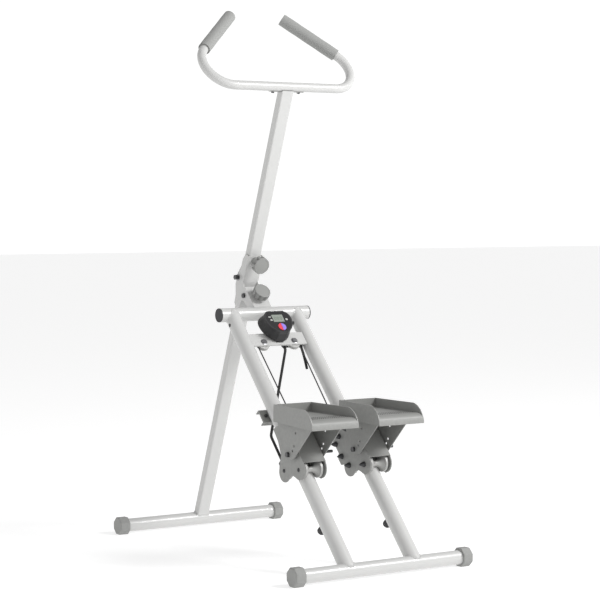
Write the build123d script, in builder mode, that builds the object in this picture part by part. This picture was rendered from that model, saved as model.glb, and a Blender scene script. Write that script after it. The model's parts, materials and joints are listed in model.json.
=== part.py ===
from build123d import *
import os
from math import cos, hypot, pi, radians, sin, sqrt, tan

# Folding rail stepper with a handle post.  Millimetres, +Z up, user stands on the -Y side.
# The origin is on the floor at the centre of the footprint.

# ---------------------------------------------------------------- driving dimensions
FOOT_Y = 470.0  # distance of each stabilizer from the origin
FOOT_LENGTH = 560.0  # overall length of a stabilizer with its end caps
FOOT_TUBE = 38.0  # stabilizer tube diameter
WALL = 1.8  # wall of every tube
CAP_FLATS = 49.0  # end cap, across its flats
CAP_LENGTH = 30.0
CAP_WALL = 3.0

RAIL_TUBE = 42.0
RAIL_X = 105.0  # rail axes left and right of the middle
RAIL_TOP_Y = 111.5  # top cross tube
RAIL_TOP_Z = 653.5
TOP_TUBE = 39.0
TOP_TUBE_LENGTH = 294.0

POST_WIDTH = 40.0  # front leg and handle post: rectangular tube
POST_DEPTH = 25.0
POST_CORNER = 5.0
LEG_LEAN = 20.84  # degrees from upright
LEG_LENGTH = 764.0
POST_START = 778.0  # along the leg line, from the front stabilizer
BAR_AT = 1350.0  # handlebar axis on the same line

BAR_TUBE = 25.4
BAR_STRAIGHT = 326.0
BAR_BEND = 75.0  # bend radius
BAR_TURN = 135.0  # degrees
BAR_RISE = 51.5  # tilt of the handlebar's plane
GRIP_LENGTH = 184.0
GRIP_DIAMETER = 34.0
GRIP_END = 5.0  # closed end of the grip
GRIP_ROUND = 1.8

SHEET = 2.5  # folded steel brackets and carriage plates
BOLT = 8.0
HOLE_CLEARANCE = 0.08  # radial, bolt in hole and roller on axle
FIT = 0.1  # plug in tube, tube in cap
WELD_GAP = 0.1  # mitred tube ends stop this short of the tube they meet
SLIP = 0.4  # between a roller and the rail

# places along a rail (from the rear stabilizer) and off it (towards the user)
AXLE_OFF = 29.4  # roller axles, off the rail axis
LOWER_FRONT_AXLE = 301.0
LOWER_REAR_AXLE = 341.5
UPPER_AXLE = 421.0
PEDAL_PIVOT = (350.0, 33.0)
PLATE_X = 32.5  # inner faces of the carriage plates, from the rail axis
FLANGE = 24.0  # roller flange radius
CARRIAGE_COVER = 59.5  # back of the cover plate, off the rail axis

PULLEY_AT = 746.0
PULLEY_X = 50.0
PULLEY_RADIUS = 20.0
PULLEY_WIDTH = 10.0
PULLEY_OFF = 2.0  # middle of the pulley groove, off the rail axis
CABLE = 3.6
CORD = 7.6
CORD_SECTION = pi * (CORD / 2) ** 2

PEDAL_TOE_Y = -204.0
PEDAL_HEEL_Y = -411.0
PEDAL_TOE_WIDTH = 121.0
PEDAL_HEEL_WIDTH = 145.0
GUSSET_X = 45.0  # inner faces of the gussets, from the rail axis

FRAME_PIVOT = (933.0, -9.0)  # along and off the rail: the leg folds here
POST_PIVOT = (776.0, 14.0)  # along and ahead of the leg line: the post folds here
KNOB_RADIUS = 24.5
KNOB_HEIGHT = 20.0
LOWER_KNOB_AT = 908.0
UPPER_KNOB_AT = 838.0

CONSOLE_AT = 786.0
CONSOLE_WIDTH = 86.0  # at its front; the back is wider by its flare
CONSOLE_HEIGHT = 76.0
CONSOLE_DEPTH = 34.0
CONSOLE_FLARE = 5.0
CONSOLE_OFF = 17.0  # back of the console, off the rail axis

# ---------------------------------------------------------------- frames of reference
FOOT_Z = CAP_FLATS / 2
RAIL_SPAN = hypot(RAIL_TOP_Y + FOOT_Y, RAIL_TOP_Z - FOOT_Z)
RAIL_DIR = Vector(0, (RAIL_TOP_Y + FOOT_Y) / RAIL_SPAN, (RAIL_TOP_Z - FOOT_Z) / RAIL_SPAN)
RAIL_OUT = Vector(0, -RAIL_DIR.Z, RAIL_DIR.Y)
LEG_DIR = Vector(0, -sin(radians(LEG_LEAN)), cos(radians(LEG_LEAN)))
LEG_OUT = Vector(0, cos(radians(LEG_LEAN)), sin(radians(LEG_LEAN)))
RAIL_FOOT = Vector(0, -FOOT_Y, FOOT_Z)
LEG_FOOT = Vector(0, FOOT_Y, FOOT_Z)
SIDES = {"left": -1, "right": 1}


def rail_point(x, along, off):
    """Point at x, so far up the rails and so far off their axes towards the user."""
    return Vector(x, 0, 0) + RAIL_FOOT + RAIL_DIR * along + RAIL_OUT * off


def leg_point(x, along, ahead):
    """Point at x, so far up the leg line and so far ahead of it."""
    return Vector(x, 0, 0) + LEG_FOOT + LEG_DIR * along + LEG_OUT * ahead


def rail_side(x):
    """Upright plane at x: local X runs up the rail, local Y off it, local Z is +X."""
    return Plane(origin=RAIL_FOOT + Vector(x, 0, 0), x_dir=RAIL_DIR, z_dir=(1, 0, 0))


def leg_side(x):
    """Upright plane at x: local X runs up the leg, local Y ahead of it, local Z is -X."""
    return Plane(origin=LEG_FOOT + Vector(x, 0, 0), x_dir=LEG_DIR, z_dir=(-1, 0, 0))


def across(point):
    """Plane through a point with its normal along +X, for round work on an X axis."""
    return Plane(origin=point, x_dir=(0, 1, 0), z_dir=(1, 0, 0))


def save(builder, name):
    """Label a finished piece and write its STEP file."""
    builder.part.label = name
    export_step(builder.part, f"parts/{name}.step")


os.makedirs("parts", exist_ok=True)


# ---------------------------------------------------------------- stabilizers and caps
def stabilizer(y):
    """Tube along X between the end walls of its two caps."""
    with BuildPart() as tube:
        with BuildSketch(across((-FOOT_LENGTH / 2 + CAP_WALL, y, FOOT_Z))):
            Circle(FOOT_TUBE / 2)
            Circle(FOOT_TUBE / 2 - WALL, mode=Mode.SUBTRACT)
        extrude(amount=FOOT_LENGTH - 2 * CAP_WALL)
    return tube


def end_caps(y):
    """Two eight-sided caps that slide over the tube ends and stand on a flat."""
    with BuildPart() as caps:
        for side in SIDES.values():
            inner = side * (FOOT_LENGTH / 2 - CAP_LENGTH)
            outward = Plane(origin=(inner, y, FOOT_Z), x_dir=(0, 1, 0), z_dir=(side, 0, 0))
            with BuildSketch(outward):
                RegularPolygon(CAP_FLATS / 2, 8, major_radius=False, rotation=22.5)
            extrude(amount=CAP_LENGTH)
            with BuildSketch(outward):
                Circle(FOOT_TUBE / 2 + FIT)
            extrude(amount=CAP_LENGTH - CAP_WALL, mode=Mode.SUBTRACT)
        ends = caps.faces().filter_by(Axis.X).sort_by(lambda f: -abs(f.center().X))[:2]
        chamfer([edge for face in ends for edge in face.edges()], 2.5)
    return caps


for place, y in (("rear", -FOOT_Y), ("front", FOOT_Y)):
    save(stabilizer(y), f"{place}_stabilizer")
    save(end_caps(y), f"{place}_caps")


# ---------------------------------------------------------------- rails and top tube
RAIL_PLUG_AT = RAIL_SPAN - 37.0  # plugged hole on the left of each rail
RAIL_PLUG = 10.0
BUMPER_AT = 148.0
BUMPER_RADIUS = 11.0
BUMPER_HEIGHT = 20.0

for name, side in SIDES.items():
    with BuildPart() as rail:
        foot = rail_point(side * RAIL_X, 0, 0)
        with BuildSketch(Plane(origin=foot, x_dir=(1, 0, 0), z_dir=RAIL_DIR)):
            Circle(RAIL_TUBE / 2)
            Circle(RAIL_TUBE / 2 - WALL, mode=Mode.SUBTRACT)
        extrude(amount=RAIL_SPAN)
        with Locations((side * RAIL_X, -FOOT_Y, FOOT_Z)):
            Cylinder(FOOT_TUBE / 2 + WELD_GAP, 2 * RAIL_TUBE, rotation=(0, 90, 0), mode=Mode.SUBTRACT)
        with Locations((side * RAIL_X, RAIL_TOP_Y, RAIL_TOP_Z)):
            Cylinder(TOP_TUBE / 2 + WELD_GAP, 2 * RAIL_TUBE, rotation=(0, 90, 0), mode=Mode.SUBTRACT)
        with BuildSketch(rail_side(side * RAIL_X - RAIL_TUBE)):
            with Locations((RAIL_PLUG_AT, 0)):
                Circle(RAIL_PLUG / 2)
        extrude(amount=RAIL_TUBE, mode=Mode.SUBTRACT)
    save(rail, f"{name}_rail")

with BuildPart() as top_tube:
    with BuildSketch(across((-TOP_TUBE_LENGTH / 2 + CAP_WALL, RAIL_TOP_Y, RAIL_TOP_Z))):
        Circle(TOP_TUBE / 2)
        Circle(TOP_TUBE / 2 - WALL, mode=Mode.SUBTRACT)
    extrude(amount=TOP_TUBE_LENGTH - 2 * CAP_WALL)
save(top_tube, "top_tube")

with BuildPart() as tube_plugs:
    for side in SIDES.values():
        end = (side * (TOP_TUBE_LENGTH / 2 - CAP_WALL), RAIL_TOP_Y, RAIL_TOP_Z)
        with BuildSketch(Plane(origin=end, x_dir=(0, 1, 0), z_dir=(side, 0, 0))):
            Circle(TOP_TUBE / 2)
        extrude(amount=CAP_WALL)
        with BuildSketch(Plane(origin=end, x_dir=(0, 1, 0), z_dir=(-side, 0, 0))):
            Circle(TOP_TUBE / 2 - WALL - FIT)
        extrude(amount=4 * CAP_WALL)
save(tube_plugs, "tube_plugs")

with BuildPart() as rail_plugs:
    for side in SIDES.values():
        with BuildSketch(rail_side(side * RAIL_X - RAIL_TUBE / 2 - 0.6)):
            with Locations((RAIL_PLUG_AT, 0)):
                Circle(RAIL_PLUG / 2 - FIT)
        extrude(amount=3 * WALL)
save(rail_plugs, "rail_plugs")

with BuildPart() as rail_bumpers:
    for side in SIDES.values():
        seat = rail_point(side * RAIL_X, BUMPER_AT, -RAIL_TUBE / 2 - BUMPER_HEIGHT)
        with BuildSketch(Plane(origin=seat, x_dir=(1, 0, 0), z_dir=RAIL_OUT)):
            Circle(BUMPER_RADIUS)
        extrude(amount=BUMPER_HEIGHT + 4)
        with BuildSketch(Plane(origin=rail_point(side * RAIL_X, 0, 0), x_dir=(1, 0, 0), z_dir=RAIL_DIR)):
            Circle(RAIL_TUBE / 2 + FIT)
        extrude(amount=RAIL_SPAN, mode=Mode.SUBTRACT)
    low = rail_bumpers.edges().filter_by(GeomType.CIRCLE).sort_by(lambda e: e.center().dot(RAIL_OUT))[:2]
    fillet(low, 4)
save(rail_bumpers, "rail_bumpers")

# ---------------------------------------------------------------- saddle bracket on the top tube
SADDLE_INNER = 26.0  # half the clear width between its flanges
SADDLE_OFF = 9.0  # back of its web, off the rail axis
SADDLE_TOP = 948.0

with BuildPart() as saddle_bracket:
    flange_outline = [
        (RAIL_SPAN + 6, SADDLE_OFF + SHEET),
        (SADDLE_TOP, SADDLE_OFF + SHEET),
        (FRAME_PIVOT[0] + 15, -8),
        (FRAME_PIVOT[0] + 12, -20),
        (FRAME_PIVOT[0] + 4, -24),
        (FRAME_PIVOT[0] - 14, -22),
        (RAIL_SPAN + 6, -6),
    ]
    for side in SIDES.values():
        with BuildSketch(rail_side(side * (SADDLE_INNER + SHEET / 2))):
            Polygon(*flange_outline, align=None)
            with Locations(FRAME_PIVOT):
                Circle(BOLT / 2 + HOLE_CLEARANCE, mode=Mode.SUBTRACT)
        extrude(amount=SHEET / 2, both=True)
    with BuildSketch(rail_side(0)):
        with Locations(((RAIL_SPAN + 6 + SADDLE_TOP) / 2, SADDLE_OFF + SHEET / 2)):
            Rectangle(SADDLE_TOP - RAIL_SPAN - 6, SHEET)
    extrude(amount=SADDLE_INNER + SHEET / 2, both=True)
    with BuildSketch(Plane(origin=rail_point(0, LOWER_KNOB_AT, 0), x_dir=(1, 0, 0), z_dir=RAIL_OUT)):
        Circle(BOLT / 2 + HOLE_CLEARANCE)
    extrude(amount=SADDLE_OFF + 2 * SHEET, mode=Mode.SUBTRACT)
    with Locations((0, RAIL_TOP_Y, RAIL_TOP_Z)):
        Cylinder(TOP_TUBE / 2 + WELD_GAP, 4 * SADDLE_INNER, rotation=(0, 90, 0), mode=Mode.SUBTRACT)
save(saddle_bracket, "saddle_bracket")


def cross_bolt(plane, at, low, high, head=6.5, head_height=5.0, nut_height=6.5):
    """Bolt along local Z of a side plane from low to high, with a hex head and a hex nut outside."""
    here = Plane(origin=plane.from_local_coords(Vector(*at, 0)), x_dir=plane.x_dir, z_dir=plane.z_dir)
    with BuildSketch(here.offset(low)) as shank:
        Circle(BOLT / 2)
    extrude(shank.sketch, amount=high - low)
    with BuildSketch(here.offset(low)) as hex_head:
        RegularPolygon(head, 6, major_radius=False)
    extrude(hex_head.sketch, amount=-head_height)
    with BuildSketch(here.offset(high - nut_height)) as nut:
        RegularPolygon(head, 6, major_radius=False)
    extrude(nut.sketch, amount=nut_height)


with BuildPart() as frame_pivot_bolt:
    outer_face = SADDLE_INNER + SHEET
    cross_bolt(rail_side(0), FRAME_PIVOT, -outer_face, outer_face + 8)
save(frame_pivot_bolt, "frame_pivot_bolt")

# ---------------------------------------------------------------- front leg and its hinge bracket
BRACKET_INNER = 22.8  # half the clear width inside the hinge bracket
BRACKET_LOW = 692.0
BRACKET_TOP = 852.0
WEB_BACK = -POST_DEPTH / 2  # the bracket's web bears on the back of the leg and the post
EAR = 2.5


def box_tube(start, end):
    """Rounded rectangular tube on the leg line, between two places along it."""
    with BuildSketch(Plane(origin=leg_point(0, start, 0), x_dir=(1, 0, 0), z_dir=LEG_DIR)) as section:
        RectangleRounded(POST_WIDTH, POST_DEPTH, POST_CORNER)
        RectangleRounded(
            POST_WIDTH - 2 * WALL, POST_DEPTH - 2 * WALL, POST_CORNER - WALL, mode=Mode.SUBTRACT
        )
    extrude(section.sketch, amount=end - start)


with BuildPart() as front_leg:
    box_tube(0, LEG_LENGTH)
    with Locations((0, FOOT_Y, FOOT_Z)):
        Cylinder(FOOT_TUBE / 2 + WELD_GAP, 2 * POST_WIDTH, rotation=(0, 90, 0), mode=Mode.SUBTRACT)
save(front_leg, "front_leg")

FRAME_PIVOT_POINT = rail_point(0, *FRAME_PIVOT)
FRAME_PIVOT_ON_LEG = (
    (FRAME_PIVOT_POINT - LEG_FOOT).dot(LEG_DIR),
    (FRAME_PIVOT_POINT - LEG_FOOT).dot(LEG_OUT),
)

with BuildPart() as hinge_bracket:
    column = [
        (BRACKET_LOW, WEB_BACK - SHEET),
        (BRACKET_LOW, -2),
        (BRACKET_LOW + 8, 9),
        (724, 10),
        (752, POST_PIVOT[1] + 7),
        (790, POST_PIVOT[1] + 7),
        (800, 10),
        (834, 9.5),
        (BRACKET_TOP, 1),
        (BRACKET_TOP, WEB_BACK - SHEET),
        (775, WEB_BACK - SHEET),
        (762, -24),
        (FRAME_PIVOT_ON_LEG[0] + 13, FRAME_PIVOT_ON_LEG[1] + 1),
        (FRAME_PIVOT_ON_LEG[0] - 13, FRAME_PIVOT_ON_LEG[1] + 1),
        (716, -22),
    ]
    for side in SIDES.values():
        with BuildSketch(leg_side(side * (BRACKET_INNER + SHEET / 2))):
            Polygon(*column, align=None)
            with Locations(FRAME_PIVOT_ON_LEG):
                Circle(13)
                Circle(BOLT / 2 + HOLE_CLEARANCE, mode=Mode.SUBTRACT)
            with Locations(POST_PIVOT):
                Circle(BOLT / 2 + HOLE_CLEARANCE, mode=Mode.SUBTRACT)
        extrude(amount=SHEET / 2, both=True)
    with BuildSketch(leg_side(0)):
        with Locations(((BRACKET_LOW + BRACKET_TOP) / 2, WEB_BACK - SHEET / 2)):
            Rectangle(BRACKET_TOP - BRACKET_LOW, SHEET)
    extrude(amount=BRACKET_INNER + SHEET / 2, both=True)
    with BuildSketch(Plane(origin=leg_point(0, UPPER_KNOB_AT, 0), x_dir=(1, 0, 0), z_dir=-LEG_OUT)):
        Circle(BOLT / 2 + HOLE_CLEARANCE)
    extrude(amount=POST_DEPTH, mode=Mode.SUBTRACT)
save(hinge_bracket, "hinge_bracket")

with BuildPart() as post_pivot_bolt:
    bracket_face = BRACKET_INNER + SHEET
    cross_bolt(leg_side(0), POST_PIVOT, -bracket_face, bracket_face + 12, nut_height=8)
save(post_pivot_bolt, "post_pivot_bolt")

# ---------------------------------------------------------------- handle post and handlebar
BAR_CENTRE = leg_point(0, BAR_AT, 0)
BAR_OUT = Vector(0, cos(radians(BAR_RISE)), sin(radians(BAR_RISE)))
BAR_SADDLE = 2.0
BAR_SADDLE_LENGTH = 110.0
SCREW_X = 42.0

with BuildPart() as handle_post:
    box_tube(POST_START, BAR_AT)
    ear_outline = [
        (POST_PIVOT[0] + 52, -8),
        (POST_PIVOT[0] + 52, 7),
        (POST_PIVOT[0] + 22, POST_PIVOT[1] + 6),
        (POST_PIVOT[0], POST_PIVOT[1] + 7),
        (POST_PIVOT[0], POST_PIVOT[1] - 7),
        (POST_PIVOT[0] + 10, -8),
    ]
    for side in SIDES.values():
        with BuildSketch(leg_side(side * (POST_WIDTH + EAR) / 2)):
            Polygon(*ear_outline, align=None)
            with Locations(POST_PIVOT):
                Circle(7)
        extrude(amount=EAR / 2, both=True)
    with BuildSketch(leg_side(0)):
        with Locations(POST_PIVOT):
            Circle(BOLT / 2 + HOLE_CLEARANCE)
    extrude(amount=POST_WIDTH, both=True, mode=Mode.SUBTRACT)
    with Locations(BAR_CENTRE):
        Cylinder(
            BAR_TUBE / 2 + BAR_SADDLE + WELD_GAP, 2 * POST_WIDTH, rotation=(0, 90, 0), mode=Mode.SUBTRACT
        )
    with BuildSketch(Plane(origin=leg_point(0, UPPER_KNOB_AT, 0), x_dir=(1, 0, 0), z_dir=-LEG_OUT)):
        Circle(BOLT / 2 + HOLE_CLEARANCE)
    extrude(amount=POST_DEPTH, mode=Mode.SUBTRACT)
save(handle_post, "handle_post")

with BuildPart() as handlebar_saddle:
    with BuildSketch(leg_side(0)):
        with Locations((BAR_AT, 0)):
            Circle(BAR_TUBE / 2 + BAR_SADDLE)
            Circle(BAR_TUBE / 2 + FIT / 2, mode=Mode.SUBTRACT)
        with Locations((BAR_AT + BAR_TUBE / 2 - 7, 0)):
            Rectangle(BAR_TUBE + 10, 2 * BAR_TUBE, mode=Mode.SUBTRACT)
    extrude(amount=BAR_SADDLE_LENGTH / 2, both=True)
    for side in SIDES.values():
        hole = Plane(origin=leg_point(side * SCREW_X, BAR_AT, 0), x_dir=(1, 0, 0), z_dir=-LEG_DIR)
        with BuildSketch(hole):
            Circle(2.5 + HOLE_CLEARANCE)
        extrude(amount=BAR_TUBE, mode=Mode.SUBTRACT)
save(handlebar_saddle, "handlebar_saddle")

BAR_CORNER = BAR_STRAIGHT / 2 + BAR_BEND * tan(radians(BAR_TURN / 2))
BEND_END = (
    BAR_STRAIGHT / 2 + BAR_BEND * sin(radians(BAR_TURN)),
    BAR_BEND * (1 - cos(radians(BAR_TURN))),
)
BAR_TIP = (
    BEND_END[0] + (GRIP_LENGTH - GRIP_END) * cos(radians(BAR_TURN)),
    BEND_END[1] + (GRIP_LENGTH - GRIP_END) * sin(radians(BAR_TURN)),
)
BAR_PLANE = Plane(origin=BAR_CENTRE, x_dir=(1, 0, 0), z_dir=Vector(1, 0, 0).cross(BAR_OUT))

with BuildPart() as handlebar:
    with BuildLine(BAR_PLANE) as bar_line:
        FilletPolyline(
            (-BAR_TIP[0], BAR_TIP[1]), (-BAR_CORNER, 0), (BAR_CORNER, 0), BAR_TIP, radius=BAR_BEND
        )
    start_tangent = bar_line.line % 0
    with BuildSketch(Plane(origin=bar_line.line @ 0, z_dir=start_tangent)):
        Circle(BAR_TUBE / 2)
        Circle(BAR_TUBE / 2 - WALL, mode=Mode.SUBTRACT)
    sweep()
    for side in SIDES.values():
        hole = Plane(origin=leg_point(side * SCREW_X, BAR_AT, 0), x_dir=(1, 0, 0), z_dir=-LEG_DIR)
        with BuildSketch(hole):
            Circle(2.5 + HOLE_CLEARANCE)
        extrude(amount=BAR_TUBE, mode=Mode.SUBTRACT)
save(handlebar, "handlebar")

with BuildPart() as saddle_screws:
    for side in SIDES.values():
        under = leg_point(side * SCREW_X, BAR_AT - BAR_TUBE / 2 - BAR_SADDLE - 0.2, 0)
        with BuildSketch(Plane(origin=under, x_dir=(1, 0, 0), z_dir=LEG_DIR)):
            Circle(2.5)
        extrude(amount=6)
        with BuildSketch(Plane(origin=under, x_dir=(1, 0, 0), z_dir=-LEG_DIR)):
            Circle(5)
        extrude(amount=3, taper=15)
save(saddle_screws, "saddle_screws")

for name, side in SIDES.items():
    bar_axis = BAR_PLANE.from_local_coords(Vector(side * BEND_END[0], BEND_END[1], 0))
    inward = Vector(side * cos(radians(BAR_TURN)), 0, 0) + BAR_OUT * sin(radians(BAR_TURN))
    with BuildPart() as grip:
        with BuildSketch(Plane(origin=bar_axis, z_dir=inward)):
            Circle(GRIP_DIAMETER / 2)
        extrude(amount=GRIP_LENGTH)
        with BuildSketch(Plane(origin=bar_axis, z_dir=inward)):
            Circle(BAR_TUBE / 2 + FIT)
        extrude(amount=GRIP_LENGTH - GRIP_END + FIT, mode=Mode.SUBTRACT)
        rims = grip.edges().filter_by(GeomType.CIRCLE)
        fillet(rims.sort_by(lambda rim: (rim.center() - bar_axis).dot(inward))[-1], GRIP_ROUND)
    save(grip, f"{name}_grip")


# ---------------------------------------------------------------- scalloped knobs
def knob(plane, stand_off):
    """Scalloped knob whose flat face looks along the plane's normal, with a hub down to the bracket."""
    with BuildPart() as head:
        with BuildSketch(plane.offset(stand_off)):
            Circle(KNOB_RADIUS)
            with PolarLocations(KNOB_RADIUS + 3.2, 12):
                Circle(5.2, mode=Mode.SUBTRACT)
        extrude(amount=KNOB_HEIGHT)
        top = head.faces().sort_by(lambda f: f.center().dot(plane.z_dir))[-1]
        fillet(top.edges(), 1.4)
        with BuildSketch(plane.offset(FIT)):
            Circle(11)
        extrude(amount=stand_off)
        with BuildSketch(plane):
            Circle(BOLT / 2)
        extrude(amount=stand_off + KNOB_HEIGHT / 2, mode=Mode.SUBTRACT)
    return head


def knob_screw(plane, depth, stand_off):
    """Threaded shank that is moulded into a knob and goes through the bracket below it."""
    with BuildPart() as screw:
        with BuildSketch(plane.offset(-depth)):
            Circle(BOLT / 2)
        extrude(amount=depth + stand_off + KNOB_HEIGHT / 2)
    return screw


UPPER_KNOB_PLANE = Plane(
    origin=leg_point(0, UPPER_KNOB_AT, WEB_BACK - SHEET), x_dir=(1, 0, 0), z_dir=-LEG_OUT
)
LOWER_KNOB_PLANE = Plane(
    origin=rail_point(0, LOWER_KNOB_AT, SADDLE_OFF + SHEET), x_dir=(1, 0, 0), z_dir=RAIL_OUT
)
save(knob(UPPER_KNOB_PLANE, 22), "upper_knob")
save(knob_screw(UPPER_KNOB_PLANE, 12, 22), "upper_knob_screw")
save(knob(LOWER_KNOB_PLANE, 11), "lower_knob")
save(knob_screw(LOWER_KNOB_PLANE, 12, 11), "lower_knob_screw")

# ---------------------------------------------------------------- pulley plate between the rails
PLATE_LOW = 734.0
PLATE_HIGH = 776.0
PLATE_OFF = 9.5  # back of the plate, off the rail axis
PLATE_LIP = 4.5
ANCHOR_BACK = -9.5  # back of the strip that holds the elastic cords
ANCHOR_REACH = 27.0  # cord sleeves either side of the right pulley's bolt
CORD_OFF = -6.0  # cord axes at the sleeves, off the rail axis
CORD_TOP = 738.0  # mouths of the sleeves

with BuildPart() as pulley_plate:
    with BuildSketch(rail_side(0)):
        with Locations(((PLATE_LOW + PLATE_HIGH) / 2, PLATE_OFF + SHEET / 2)):
            Rectangle(PLATE_HIGH - PLATE_LOW, SHEET)
        for edge in (PLATE_LOW + SHEET / 2, PLATE_HIGH - SHEET / 2):
            with Locations((edge, PLATE_OFF + SHEET - PLATE_LIP / 2)):
                Rectangle(SHEET, PLATE_LIP)
    extrude(amount=RAIL_X, both=True)
    for side in SIDES.values():
        axis = rail_point(side * PULLEY_X, PULLEY_AT, 0)
        with BuildSketch(Plane(origin=axis, x_dir=(1, 0, 0), z_dir=RAIL_OUT)):
            Circle(BOLT / 2 + HOLE_CLEARANCE)
        extrude(amount=PLATE_OFF + 2 * SHEET, mode=Mode.SUBTRACT)
        foot = rail_point(side * RAIL_X, 0, 0)
        with BuildSketch(Plane(origin=foot, x_dir=(1, 0, 0), z_dir=RAIL_DIR)):
            Circle(RAIL_TUBE / 2 + WELD_GAP)
        extrude(amount=RAIL_SPAN, mode=Mode.SUBTRACT)
        with Locations(rail_point(side * (RAIL_X + RAIL_TUBE / 2), PULLEY_AT, 0)):
            Box(RAIL_TUBE, 4 * PLATE_HIGH, 4 * PLATE_HIGH, mode=Mode.SUBTRACT)
save(pulley_plate, "pulley_plate")

with BuildPart() as pulley_bolts:
    for side in SIDES.values():
        under = rail_point(side * PULLEY_X, PULLEY_AT, ANCHOR_BACK)
        axis = Plane(origin=under, x_dir=(1, 0, 0), z_dir=RAIL_OUT)
        shank = PLATE_OFF + SHEET - ANCHOR_BACK
        with BuildSketch(axis):
            Circle(BOLT / 2)
        extrude(amount=shank)
        with BuildSketch(axis.offset(shank)):
            RegularPolygon(6.5, 6, major_radius=False)
        extrude(amount=4.5)
        with BuildSketch(axis):
            RegularPolygon(6.5, 6, major_radius=False)
        extrude(amount=-5)
        with BuildSketch(axis.offset(PULLEY_OFF + PULLEY_WIDTH / 2 + 0.3 - ANCHOR_BACK)):
            Circle(7)
        extrude(amount=PLATE_OFF - PULLEY_OFF - PULLEY_WIDTH / 2 - 0.3)
save(pulley_bolts, "pulley_bolts")

with BuildPart() as cord_anchor:
    strip = rail_point(PULLEY_X, PULLEY_AT, ANCHOR_BACK)
    with BuildSketch(Plane(origin=strip, x_dir=(1, 0, 0), z_dir=RAIL_OUT)):
        RectangleRounded(2 * ANCHOR_REACH + CORD + 6, 14, 4)
        Circle(BOLT / 2 + HOLE_CLEARANCE, mode=Mode.SUBTRACT)
    extrude(amount=SHEET)
    for hand in (-1, 1):
        sleeve = rail_point(PULLEY_X + hand * ANCHOR_REACH, CORD_TOP, CORD_OFF)
        with BuildSketch(Plane(origin=sleeve, x_dir=(1, 0, 0), z_dir=RAIL_DIR)):
            Circle(CORD / 2 + 2)
        extrude(amount=14)
        with BuildSketch(Plane(origin=sleeve, x_dir=(1, 0, 0), z_dir=RAIL_DIR)):
            Circle(CORD / 2 + FIT / 2)
        extrude(amount=12, mode=Mode.SUBTRACT)
save(cord_anchor, "cord_anchor")

for name, side in SIDES.items():
    axis = rail_point(side * PULLEY_X, PULLEY_AT, PULLEY_OFF)
    with BuildPart() as pulley:
        with BuildSketch(Plane(origin=axis, x_dir=(1, 0, 0), z_dir=RAIL_DIR)):
            groove = CABLE / 2 + 0.3
            outline = [
                (BOLT / 2 + HOLE_CLEARANCE, -PULLEY_WIDTH / 2),
                (PULLEY_RADIUS, -PULLEY_WIDTH / 2),
                (PULLEY_RADIUS, -groove - 1.6),
                (PULLEY_RADIUS - 2 * groove, -groove),
                (PULLEY_RADIUS - 2 * groove, groove),
                (PULLEY_RADIUS, groove + 1.6),
                (PULLEY_RADIUS, PULLEY_WIDTH / 2),
                (BOLT / 2 + HOLE_CLEARANCE, PULLEY_WIDTH / 2),
            ]
            Polygon(*outline, align=None)
        revolve(axis=Axis(axis, RAIL_OUT))
    save(pulley, f"{name}_pulley")

# ---------------------------------------------------------------- console
CONSOLE_PLANE = Plane(origin=rail_point(0, CONSOLE_AT, CONSOLE_OFF), x_dir=(1, 0, 0), z_dir=RAIL_OUT)
BEZEL = 1.6
BUTTON_RADIUS = 12.0
BUTTON_DOWN = 19.5  # button centre below the console's centre
BUTTON_PROUD = 1.6
BUTTON_TRAVEL = 1.0
BUTTON_GAP = 0.35
LCD = (36.0, 26.0)
LCD_UP = 12.0


def console_outline(margin):
    """Rounded shield: wide shoulders and a round chin, drawn inside a margin."""
    half = CONSOLE_WIDTH / 2 - margin
    top = CONSOLE_HEIGHT / 2 - margin
    with BuildLine() as outline:
        Polyline((-half * 0.62, top), (half * 0.62, top))
        ThreePointArc((half * 0.62, top), (half * 0.9, top * 0.72), (half, top * 0.2))
        ThreePointArc((half, top * 0.2), (half * 0.72, -top * 0.62), (half * 0.3, -top))
        Polyline((half * 0.3, -top), (-half * 0.3, -top))
        ThreePointArc((-half * 0.3, -top), (-half * 0.72, -top * 0.62), (-half, top * 0.2))
        ThreePointArc((-half, top * 0.2), (-half * 0.9, top * 0.72), (-half * 0.62, top))
    make_face(outline.edges())


with BuildPart() as console_body:
    with BuildSketch(CONSOLE_PLANE):
        console_outline(-CONSOLE_FLARE)
    with BuildSketch(CONSOLE_PLANE.offset(CONSOLE_DEPTH * 0.7)):
        console_outline(0)
    loft()
    with BuildSketch(CONSOLE_PLANE.offset(CONSOLE_DEPTH * 0.7)):
        console_outline(0)
    extrude(amount=CONSOLE_DEPTH * 0.3)
    with BuildSketch(CONSOLE_PLANE.offset(CONSOLE_DEPTH)):
        console_outline(4)
    extrude(amount=-BEZEL, mode=Mode.SUBTRACT)
    with BuildSketch(CONSOLE_PLANE.offset(CONSOLE_DEPTH)):
        with Locations((0, -BUTTON_DOWN)):
            Circle(BUTTON_RADIUS + BUTTON_GAP)
    extrude(amount=-BEZEL - BUTTON_TRAVEL - 2, mode=Mode.SUBTRACT)
save(console_body, "console_body")

with BuildPart() as console_face:
    with BuildSketch(CONSOLE_PLANE.offset(CONSOLE_DEPTH - BEZEL)):
        console_outline(4 + FIT)
        with Locations((0, -BUTTON_DOWN)):
            Circle(BUTTON_RADIUS + BUTTON_GAP, mode=Mode.SUBTRACT)
        with Locations((0, LCD_UP)):
            Rectangle(*LCD, mode=Mode.SUBTRACT)
    extrude(amount=BEZEL)
save(console_face, "console_face")

with BuildPart() as console_lcd:
    with BuildSketch(CONSOLE_PLANE.offset(CONSOLE_DEPTH - BEZEL)):
        with Locations((0, LCD_UP)):
            Rectangle(LCD[0] - FIT, LCD[1] - FIT)
    extrude(amount=BEZEL - 0.5)
save(console_lcd, "console_lcd")

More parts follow.
